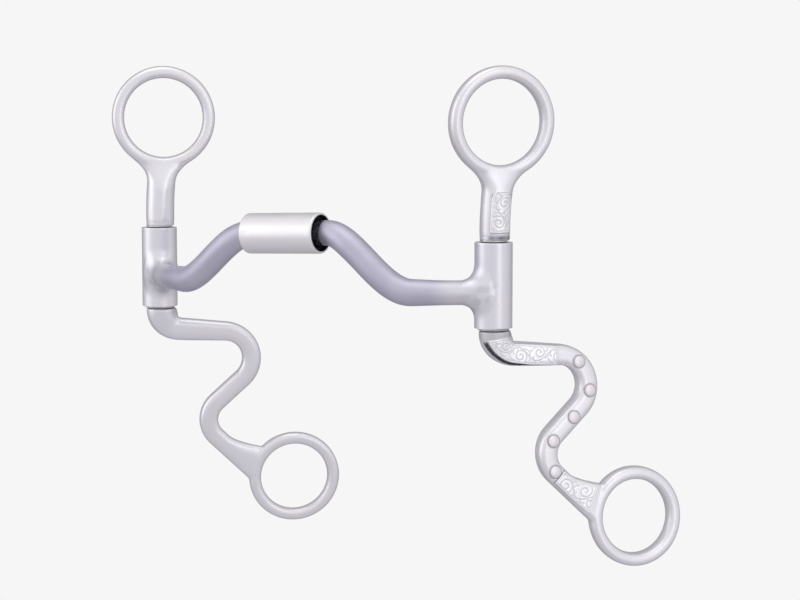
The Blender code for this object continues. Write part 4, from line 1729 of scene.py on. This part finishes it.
@dataclass(frozen=True)
class Crotch:
    """Rounded corner between the sleeve's tube and the cannon that is welded to it."""

    axis: Vector
    root: Vector
    inward: Vector
    tube_radius: float
    cannon_radius: float
    fillet: float
    reach: float = 6.0 * MM
    skin_allowance: float = 0.08 * MM
    probe: float = 0.01 * MM

    def along(self, points: np.ndarray) -> np.ndarray:
        """How far points lie along the cannon from the tube's axis."""
        return (points - np.array(self.root)) @ np.array(self.inward)

    def from_axis(self, points: np.ndarray) -> np.ndarray:
        """How far points lie from the tube's axis."""
        return np.hypot(points[:, 0] - self.axis.x, points[:, 1] - self.axis.y)

    def from_line(self, points: np.ndarray, along: np.ndarray) -> np.ndarray:
        """How far points lie from the cannon's line at their place along it."""
        offset = points - np.array(self.root)
        return np.linalg.norm(offset - along[:, None] * np.array(self.inward), axis=1)

    def near(self, points: np.ndarray) -> np.ndarray:
        """Weights of the skin round the junction, from 0 to 1.

        Args:
            points: places on the skin.

        Returns:
            A weight for each point.
        """
        along = self.along(points)
        weight = smoothstep((along - 3.5 * MM) / (1.5 * MM))
        weight = weight * smoothstep((12.5 * MM - along) / (2.0 * MM))
        level = np.abs(points[:, 2] - self.root.z)
        return weight * (level < 11.0 * MM) * (self.from_axis(points) > 5.0 * MM)

    def distance(self, points: np.ndarray) -> np.ndarray:
        """Distance to tube and cannon, rounded where they meet.

        Args:
            points: places to measure.

        Returns:
            Signed distances, 0 on the rounded surface.
        """
        tube = self.from_axis(points) - self.tube_radius
        along = np.maximum(self.along(points), 0.0)
        cannon = self.from_line(points, along) - self.cannon_radius + self.skin_allowance
        reach = self.reach * np.maximum(smoothstep((along + MM) / (5.0 * MM)), 0.04)
        share = np.maximum(reach - np.abs(tube - cannon), 0.0) / reach
        return np.minimum(tube, cannon) - share * share * reach / 4.0

    def round_off(self, points: np.ndarray) -> np.ndarray:
        """Move the skin round the junction onto its rounded surface.

        Args:
            points: places on the skin.

        Returns:
            The same points, moved.
        """
        along, radial = self.along(points), self.from_axis(points)
        level = np.abs(points[:, 2] - self.root.z)
        weight = smoothstep((along - 0.5 * MM) / (2.5 * MM))
        weight = weight * smoothstep((self.tube_radius + self.fillet + 0.8 * MM - along) / MM)
        weight = weight * (radial > self.tube_radius - 0.8 * MM) * (level < 12.5 * MM)
        for _ in range(5):
            value = self.distance(points)
            slope = np.stack([
                (self.distance(points + self.probe * unit) - value) / self.probe
                for unit in np.eye(3)
            ], 1)
            size = np.maximum((slope ** 2).sum(1), 0.2)
            points = points - (weight * value / size)[:, None] * slope
        return points

    def heat_tint_and_shade(self, points: np.ndarray) -> np.ndarray:
        """Faint dark blotches round the cannon's root: the weld's heat tint, which also paints shade
        into the crease.

        Args:
            points: places on the skin.

        Returns:
            How dark each point is, from 0 to 1.
        """
        along = self.along(points)
        from_cannon = self.from_line(points, along) - self.cannon_radius
        from_tube = self.from_axis(points) - self.tube_radius
        near = bell(from_cannon, 2.2 * MM) * bell(from_tube, 2.4 * MM)
        x, y, z = ((points - np.array(self.root)) / (1.5 * MM)).T
        blotch = np.sin(1.9 * x + 0.7 * z) + np.sin(2.3 * z - 1.1 * y) + np.sin(1.7 * y + 1.3 * x)
        return 0.55 * near * smoothstep((blotch + 0.9) / 1.6) * (along > 0.0)

    def age(self, points: np.ndarray, bore: float) -> np.ndarray:
        """Painted shade in the bore and in the corner under the cannon, and the weld's heat tint with
        shade in its crease.

        Args:
            points: places on the skin.
            bore: radius of the sleeve's bore.

        Returns:
            How dark each point is, from 0 to 1.
        """
        along = self.along(points)
        # Painted shade inside the sleeve's bore.
        inside = 1.0 * (self.from_axis(points) < bore + 0.8 * MM)
        # Painted shade in the corner under the cannon.
        under = smoothstep((along - 6.0 * MM) / (2.0 * MM)) * smoothstep((11.0 * MM - along) / MM)
        corner = under * bell(points[:, 2] - self.root.z + 6.6 * MM, 1.6 * MM) * 0.6
        return np.maximum.reduce([inside, corner, self.heat_tint_and_shade(points)])


@dataclass
class Mouthpiece:
    """Two curved cannons with melted sleeves, and the roller between them."""

    half_span: float
    sweep: float = 20.0 * MM
    port_height: float = 16.2 * MM
    port_tilt: float = math.radians(2.3)
    waist_start: float = 11.0 * MM
    waist_middle: float = 14.4 * MM
    waist_end: float = 26.0 * MM
    waist_depth: float = 0.35 * MM
    set_back: float = 1.0 * MM
    root_height: float = -2.4 * MM
    port_inner: float = 16.0 * MM
    port_outer: float = 47.5 * MM
    cannon_radius: float = 4.75 * MM
    cannon_end: float = 4.2 * MM
    root_radius: float = 4.2 * MM
    taper_start: float = 42.0 * MM
    taper_length: float = 18.0 * MM
    flange_start: float = 0.5 * MM
    flange_end: float = 2.5 * MM
    flange_radius: float = 5.75 * MM
    roller_half: float = 15.0 * MM
    roller_radius: float = 7.1 * MM
    roller_bore: float = 6.25 * MM
    roller_edge: float = 0.55 * MM
    ding_count: int = 26
    ding_seed: int = 7
    sleeve_radius: float = 6.5 * MM
    sleeve_half: float = 14.6 * MM
    sleeve_bore: float = 3.3 * MM
    fillet: float = 4.0 * MM
    aim_back: float = 6.5 * MM
    tee_grain: float = 0.28 * MM

    def waist(self, x: float) -> float:
        """Share of a cannon's waist: 1 where it leaves the roller.

        Args:
            x: distance from the middle of the mouthpiece.

        Returns:
            The share, from 0 to 1.
        """
        into = smoothstep((x - self.waist_start) / (self.waist_middle - self.waist_start))
        out = smoothstep((self.waist_end - x) / (self.waist_end - self.waist_middle))
        return float(into * out)

    def line(self, x: float, sign: float) -> Vector:
        """Centreline of a cannon at a distance from the middle.

        Args:
            x: distance from the middle of the mouthpiece.
            sign: -1 for the left cannon, +1 for the right.

        Returns:
            The point.
        """
        reach = max(x - self.roller_half, 0.0) / (self.half_span - self.roller_half)
        y = -self.sweep * (1.0 - reach ** 3) + self.set_back * self.waist(x)
        rise = float(smoothstep((self.port_outer - x) / (self.port_outer - self.port_inner)))
        tilt = sign * x * math.tan(self.port_tilt) * rise
        return Vector((sign * x, y, mix(self.root_height, self.port_height, rise) + tilt))

    def radius(self, x: float) -> float:
        """Radius of a cannon, a little slimmer at the roller's ends and at the sleeve.

        Args:
            x: distance from the middle of the mouthpiece.

        Returns:
            The radius.
        """
        slimming = smoothstep((x - self.taper_start) / self.taper_length)
        radius = mix(self.cannon_radius, self.root_radius, slimming)
        return float(radius) - self.waist_depth * self.waist(x)

    def rings(self, stations: Iterable[tuple[float, float]], sign: float, count: int) -> list:
        """Round sections square to the centreline.

        Args:
            stations: (distance from the middle, radius) rows.
            sign: -1 for the left cannon, +1 for the right.
            count: points round each section.

        Returns:
            The sections, each a (count, 3) array.
        """
        rings = []
        angle = circle(count)
        step = 0.2 * MM
        for x, radius in stations:
            tangent = (self.line(x + step, sign) - self.line(x - step, sign)).normalized()
            up = (UP - tangent * tangent.z).normalized()
            side = tangent.cross(up)
            rings.append(
                np.array(self.line(x, sign))
                + radius * np.cos(angle)[:, None] * np.array(up)
                + radius * np.sin(angle)[:, None] * np.array(side)
            )
        return rings

    def build_cannon(self, side: Side) -> None:
        """One arm of the mouthpiece, with its flange hidden in the roller.

        Args:
            side: the side to make.
        """
        stations = [
            (self.flange_start, self.flange_radius),
            (self.flange_end, self.flange_radius),
            (self.flange_end + 0.05 * MM, self.cannon_radius),
        ]
        end = self.half_span - self.cannon_end
        for x in np.linspace(self.flange_end + 1.0 * MM, end, 150):
            stations.append((float(x), self.radius(float(x))))
        obj = Bench.sweep(side.name("cannon_bar"), self.rings(stations, side.sign, 72))
        Bench.outward(obj)
        x = np.abs(Bench.places(obj)[:, 0])
        Bench.mark(obj, "tone", smoothstep((x - end + 12.5 * MM) / (8.0 * MM)))
        # Painted shade: the cannon is darkened where it runs inside the roller's bore.
        Bench.mark(obj, "oxide_and_shade", smoothstep((self.roller_half + 0.25 * MM - x) / (0.3 * MM)))
        Bench.smooth(obj)
        dress(obj, Finishes.IRON)
        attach(obj, side.name("mouthpiece"))
        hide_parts(side.name("cannon"))
        report(obj)

    def build_tee(self, side: Side) -> None:
        """Sleeve tube with the cannon's weld melted onto it.

        Args:
            side: the side to make.
        """
        low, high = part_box(side.name("sleeve"))
        axis = (low + high) / 2.0
        tube = self.sleeve_tube(axis)
        root = self.line(self.half_span, side.sign)
        inward = (self.line(self.half_span - self.aim_back, side.sign) - root).normalized()
        crotch = Crotch(axis, root, inward, self.sleeve_radius, self.root_radius, self.fillet)
        obj = Bench.join(side.name("sleeve_tee"), [tube, self.trumpet(root, inward)])
        Bench.melt(obj, self.tee_grain, 3)
        near = crotch.near(Bench.places(obj))
        Bench.soften(obj, near, 12)
        Bench.place(obj, crotch.round_off(Bench.places(obj)))
        Bench.soften(obj, near, 4)
        places = Bench.places(obj)
        Bench.mark(obj, "oxide_and_shade", crotch.age(places, self.sleeve_bore))
        Bench.mark(obj, "tone", smoothstep((crotch.along(places) - 6.8 * MM) / (4.0 * MM)))
        Bench.smooth(obj)
        dress(obj, Finishes.SLEEVE)
        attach(obj, side.name("mouthpiece"))
        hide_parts(side.name("sleeve"), side.name("weld_fillet"))
        report(obj)

    def trumpet(self, root: Vector, inward: Vector) -> bpy.types.Object:
        """Dressed weld that opens from the cannon onto the tube.

        Args:
            root: where the cannon's line meets the tube's axis.
            inward: the cannon's direction there.

        Returns:
            A closed piece that overlaps the tube.
        """
        tip = self.root_radius + 0.02 * MM
        tip_at = self.sleeve_radius + self.fillet
        stations = [(3.9 * MM, 1.0, 4.95 * MM)]
        for tilt in np.linspace(RIGHT_ANGLE, 0.0, 14):
            share = 1.0 - math.cos(tilt)
            stations.append((tip_at - self.fillet * math.sin(tilt), share, tip + 0.9 * MM * share))
        stations.append((tip_at + 2.6 * MM, 0.0, self.root_radius - 0.35 * MM))
        up, across = np.array(UP), np.array(inward.cross(UP))
        rings = []
        for distance, share, wide in stations:
            section = oval(min(tip, wide) + self.fillet * share, wide, 2.0, 64)
            centre = np.array(root + inward * distance)
            rings.append(centre + section[:, :1] * up + section[:, 1:] * across)
        return Bench.sweep("trumpet", rings)

    def sleeve_tube(self, axis: Vector) -> bpy.types.Object:
        """Upright tube with a bore and softened rims.

        Args:
            axis: its middle.

        Returns:
            The tube.
        """
        Bench.clear_selection()
        bpy.ops.mesh.primitive_cylinder_add(
            vertices=96, radius=self.sleeve_radius, depth=2.0 * self.sleeve_half, location=axis
        )
        obj = Bench.take("tube")
        bpy.ops.object.transform_apply(location=True, rotation=True, scale=True)
        self.bore(obj, UP, self.sleeve_radius - self.sleeve_bore)
        return obj

    @staticmethod
    def bore(obj: bpy.types.Object, axis: Vector, wall: float) -> None:
        """Open a cylinder from end to end, leaving a wall.

        Args:
            obj: the cylinder.
            axis: its axis.
            wall: thickness of the wall that stays.
        """
        Bench.pick(obj)
        bpy.ops.object.mode_set(mode="EDIT")
        bpy.ops.mesh.select_mode(type="FACE")
        bpy.ops.mesh.select_all(action="DESELECT")
        mesh = bmesh.from_edit_mesh(obj.data)
        for face in mesh.faces:
            face.select_set(abs(face.normal.dot(axis)) > 0.99)
        bmesh.update_edit_mesh(obj.data)
        bpy.ops.mesh.inset(thickness=wall, depth=0.0)
        bpy.ops.mesh.bridge_edge_loops()
        bpy.ops.object.mode_set(mode="OBJECT")

    def build_roller(self) -> None:
        """Thin-walled roller with broken edges and a few dings."""
        low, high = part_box("roller")
        centre = (low + high) / 2.0
        Bench.clear_selection()
        bpy.ops.mesh.primitive_cylinder_add(
            vertices=128, radius=self.roller_radius, depth=2.0 * self.roller_half,
            location=centre, rotation=(0.0, RIGHT_ANGLE, 0.0),
        )
        obj = Bench.take("roller_shell")
        bpy.ops.object.transform_apply(location=True, rotation=True, scale=True)
        self.bore(obj, Vector((1.0, 0.0, 0.0)), self.roller_radius - self.roller_bore)
        rim = self.roller_radius - 0.1 * MM
        self.pick_edges(obj, lambda a, b: abs(a.x - b.x) < MERGE_DISTANCE and all(
            math.hypot(end.y - centre.y, end.z - centre.z) > rim for end in (a, b)))
        bpy.ops.mesh.bevel(offset=self.roller_edge, segments=4, profile=0.5)
        self.pick_edges(obj, lambda a, b: abs(a.x - b.x) > 20.0 * MM)
        bpy.ops.mesh.subdivide(number_cuts=90)
        bpy.ops.object.mode_set(mode="OBJECT")
        self.ding(obj, centre)
        self.tilt(obj, centre)
        Bench.outward(obj)
        Bench.smooth(obj)
        dress(obj, Finishes.ROLLER)
        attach(obj, "roller")
        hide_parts("roller")
        report(obj)

    @staticmethod
    def pick_edges(obj: bpy.types.Object, wanted: Callable[[Vector, Vector], bool]) -> None:
        """Enter edit mode and select edges by the places of their ends.

        Args:
            obj: the active piece.
            wanted: takes both ends of an edge and tells whether it is selected.
        """
        bpy.ops.object.mode_set(mode="EDIT")
        bpy.ops.mesh.select_mode(type="EDGE")
        bpy.ops.mesh.select_all(action="DESELECT")
        mesh = bmesh.from_edit_mesh(obj.data)
        for edge in mesh.edges:
            edge.select_set(wanted(edge.verts[0].co, edge.verts[1].co))
        bmesh.update_edit_mesh(obj.data)

    def ding(self, obj: bpy.types.Object, centre: Vector) -> None:
        """Press shallow dents into the roller's outer wall and paint shade into its bore.

        Args:
            obj: the roller, still level.
            centre: its middle.
        """
        rng = np.random.default_rng(self.ding_seed)
        local = Bench.places(obj) - np.array(centre)
        around = np.arctan2(local[:, 2], -local[:, 1])
        reach = np.hypot(local[:, 1], local[:, 2])
        press = np.zeros(len(local))
        for _ in range(self.ding_count):
            x, turn = rng.uniform(-13.0, 13.0) * MM, rng.uniform(-math.pi, math.pi)
            size, depth = rng.uniform(0.5, 1.5) * MM, rng.uniform(0.015, 0.06) * MM
            sideways = (np.mod(around - turn + math.pi, TURN) - math.pi) * self.roller_radius
            press += depth * bell(np.hypot(local[:, 0] - x, sideways), size)
        press = press * (reach > self.roller_radius - 0.15 * MM)
        local[:, 1:] *= ((reach - press) / reach)[:, None]
        Bench.place(obj, local + np.array(centre))
        # Painted shade: the bore's wall is darkened.
        wall = smoothstep((self.roller_bore + 0.25 * MM - reach) / (0.15 * MM))
        Bench.mark(obj, "oxide_and_shade", wall)

    def tilt(self, obj: bpy.types.Object, centre: Vector) -> None:
        """Lean the level roller to the line of the cannons.

        Args:
            obj: the piece.
            centre: its middle.
        """
        local = Bench.places(obj) - np.array(centre)
        c, s = math.cos(self.port_tilt), math.sin(self.port_tilt)
        x, z = local[:, 0].copy(), local[:, 2].copy()
        local[:, 0] = x * c - z * s
        local[:, 2] = x * s + z * c
        Bench.place(obj, local + np.array(centre))

    def build(self) -> None:
        """Make every piece of the mouthpiece."""
        self.build_roller()
        for side in Side:
            self.build_cannon(side)
            self.build_tee(side)
            dress(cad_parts[side.name("bushing")], Finishes.BUSHING)
            for washer in ("upper_washer", "lower_washer"):
                dress(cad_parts[side.name(washer)], Finishes.WASHER)
        dress(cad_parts["centre_pin"], Finishes.PIN)


# -------- studio


@dataclass(frozen=True)
class Softbox:
    """A soft panel light, placed by its bearing from the camera's side."""

    name: str
    bearing: float
    elevation: float
    width: float
    height: float
    radiance: float
    distance: float = 1.1


@dataclass
class Studio:
    """Camera, soft lights, pale floor and an even pale surround."""

    camera_at: tuple[float, float, float] = (0.42396, -0.65436, 0.07211)
    look_at: tuple[float, float, float] = (0.02524, 0.01399, -0.00880)
    lens: float = 99.0
    sensor: float = 36.0
    clip: tuple[float, float] = (0.01, 20.0)
    pale: float = 0.922
    floor_drop: float = 0.12
    floor_size: float = 30.0
    floor_grey: float = 0.6
    sky: float = 0.95
    level: float = 0.88
    ground: float = 0.66
    behind: float = 0.40
    heights: tuple[float, float, float] = (0.30, 0.52, 0.85)
    softboxes: tuple[Softbox, ...] = (
        Softbox("left_softbox", -80.0, 14.0, 0.75, 0.90, 0.62),
        Softbox("right_softbox", 35.0, 12.0, 0.30, 0.95, 0.80),
        Softbox("top_softbox", -30.0, 78.0, 0.90, 0.90, 0.60),
    )

    def build_camera(self) -> None:
        """Place the camera."""
        data = bpy.data.cameras.new("camera")
        data.lens = self.lens
        data.sensor_width = self.sensor
        data.clip_start, data.clip_end = self.clip
        camera = bpy.data.objects.new("camera", data)
        bpy.context.scene.collection.objects.link(camera)
        camera.location = self.camera_at
        heading = Vector(self.look_at) - Vector(self.camera_at)
        camera.rotation_euler = heading.to_track_quat("-Z", "Y").to_euler()
        bpy.context.scene.camera = camera

    def build_lights(self) -> None:
        """Hang the softboxes round the bit."""
        target = Vector(self.look_at)
        back = Vector(self.camera_at) - target
        facing = math.atan2(back.x, -back.y)
        for box in self.softboxes:
            turn = facing + math.radians(box.bearing)
            lift = math.radians(box.elevation)
            away = Vector(
                (math.sin(turn) * math.cos(lift), -math.cos(turn) * math.cos(lift), math.sin(lift))
            )
            data = bpy.data.lights.new(box.name, "AREA")
            data.shape = "RECTANGLE"
            data.size = box.width
            data.size_y = box.height
            data.energy = box.radiance * math.pi * box.width * box.height
            light = bpy.data.objects.new(box.name, data)
            bpy.context.scene.collection.objects.link(light)
            light.location = target + away * box.distance
            light.rotation_euler = (-away).to_track_quat("-Z", "Y").to_euler()
            light.visible_camera = False

    @staticmethod
    def tinted(value: float, green: float = 1.0, blue: float = 1.0) -> tuple:
        """Colour of a grey with its green and blue shifted a little."""
        return value, value * green, value * blue, 1.0

    def build_floor(self) -> None:
        """Wide pale floor, well below the bit, seamless with the surround."""
        low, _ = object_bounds()
        Bench.clear_selection()
        bpy.ops.mesh.primitive_plane_add(
            size=self.floor_size, location=(0.0, 0.0, low.z - self.floor_drop)
        )
        floor = Bench.take("floor")
        material, w = blank_material("pale_floor")
        shine = w.node("ShaderNodeEmission", {"Color": self.tinted(self.pale), "Strength": 1.0})
        matte = w.node("ShaderNodeBsdfDiffuse", {"Color": self.tinted(self.floor_grey)})
        self.show(w, "ShaderNodeOutputMaterial", matte, shine)
        floor.data.materials.append(material)
        floor.visible_glossy = False
        floor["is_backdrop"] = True

    @staticmethod
    def show(w: Wiring, kind: str, lighting: bpy.types.Node, looks: bpy.types.Node) -> None:
        """Let one shader light the bit and another be what the eye sees.

        Args:
            w: wiring of the floor or the surround.
            kind: its output node.
            lighting: what reflections and light get.
            looks: what is seen directly.
        """
        seen = w.node("ShaderNodeLightPath").outputs["Is Camera Ray"]
        both = w.node(
            "ShaderNodeMixShader", {0: seen, 1: lighting.outputs[0], 2: looks.outputs[0]}
        )
        w.close(kind, both)

    def build_surround(self) -> None:
        """Even surround: pale to look at, brighter above than below in the reflections."""
        world = bpy.data.worlds.new("studio")
        bpy.context.scene.world = world
        world.use_nodes = True
        world.node_tree.nodes.clear()
        w = Wiring(world.node_tree)
        place = w.node("ShaderNodeTexCoord").outputs["Generated"]
        split = w.node("ShaderNodeSeparateXYZ", {0: place})
        ramp = w.node("ShaderNodeValToRGB", {0: w.ranged(split.outputs[2], -1.0, 1.0, 0.0, 1.0)})
        stops = ramp.color_ramp.elements
        stops[0].position, stops[1].position = self.heights[0], self.heights[2]
        stops[0].color = self.tinted(self.ground, 0.985, 1.03)
        stops[1].color = self.tinted(self.sky)
        stops.new(self.heights[1]).color = self.tinted(self.level, 0.99, 1.02)
        heading = (Vector(self.look_at) - Vector(self.camera_at)).normalized()
        beyond = w.node("ShaderNodeVectorMath", {0: place, 1: heading}, operation="DOT_PRODUCT")
        share = w.ranged(beyond.outputs["Value"], -0.1, 0.85, 0.0, 1.0)
        tone = w.blend(share, ramp.outputs[0], self.tinted(self.behind, 0.99, 1.04))
        soft = w.node("ShaderNodeBackground", {"Color": tone, "Strength": 1.0})
        plain = w.node("ShaderNodeBackground", {"Color": self.tinted(self.pale), "Strength": 1.0})
        self.show(w, "ShaderNodeOutputWorld", soft, plain)

    def build(self) -> None:
        """Set up the whole studio."""
        self.build_camera()
        self.build_lights()
        self.build_floor()
        self.build_surround()
        bpy.context.scene.view_settings.view_transform = "Standard"


def cheek_frame(side: Side) -> CheekFrame:
    """Read a cheek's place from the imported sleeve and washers.

    Args:
        side: the side to make.

    Returns:
        The frame of its drawing.
    """
    low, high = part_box(side.name("sleeve"))
    axis = (low + high) / 2.0
    swivel = {Side.LEFT: math.radians(40.2), Side.RIGHT: math.radians(51.6)}[side]
    gap = 0.3 * MM
    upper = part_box(side.name("upper_washer"))[1].z + gap
    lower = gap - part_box(side.name("lower_washer"))[0].z
    return CheekFrame(side, axis, swivel, upper, lower)


def main() -> None:
    """Build the looks of the bit and its studio."""
    logging.basicConfig(level=logging.INFO, format="%(message)s")
    Studio().build()
    low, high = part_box("right_sleeve")
    Mouthpiece(half_span=(low.x + high.x) / 2.0).build()
    for side in Side:
        Cheek(side, cheek_frame(side)).build()
    Bench.clear_selection()
    boxes = {"cad": [list(corner) for corner in CAD_BOX]}
    boxes["visual"] = [list(corner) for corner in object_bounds()]
    for name, corners in boxes.items():
        LOG.info("%s box %s", name, corners)


if __name__ == "__main__":
    main()
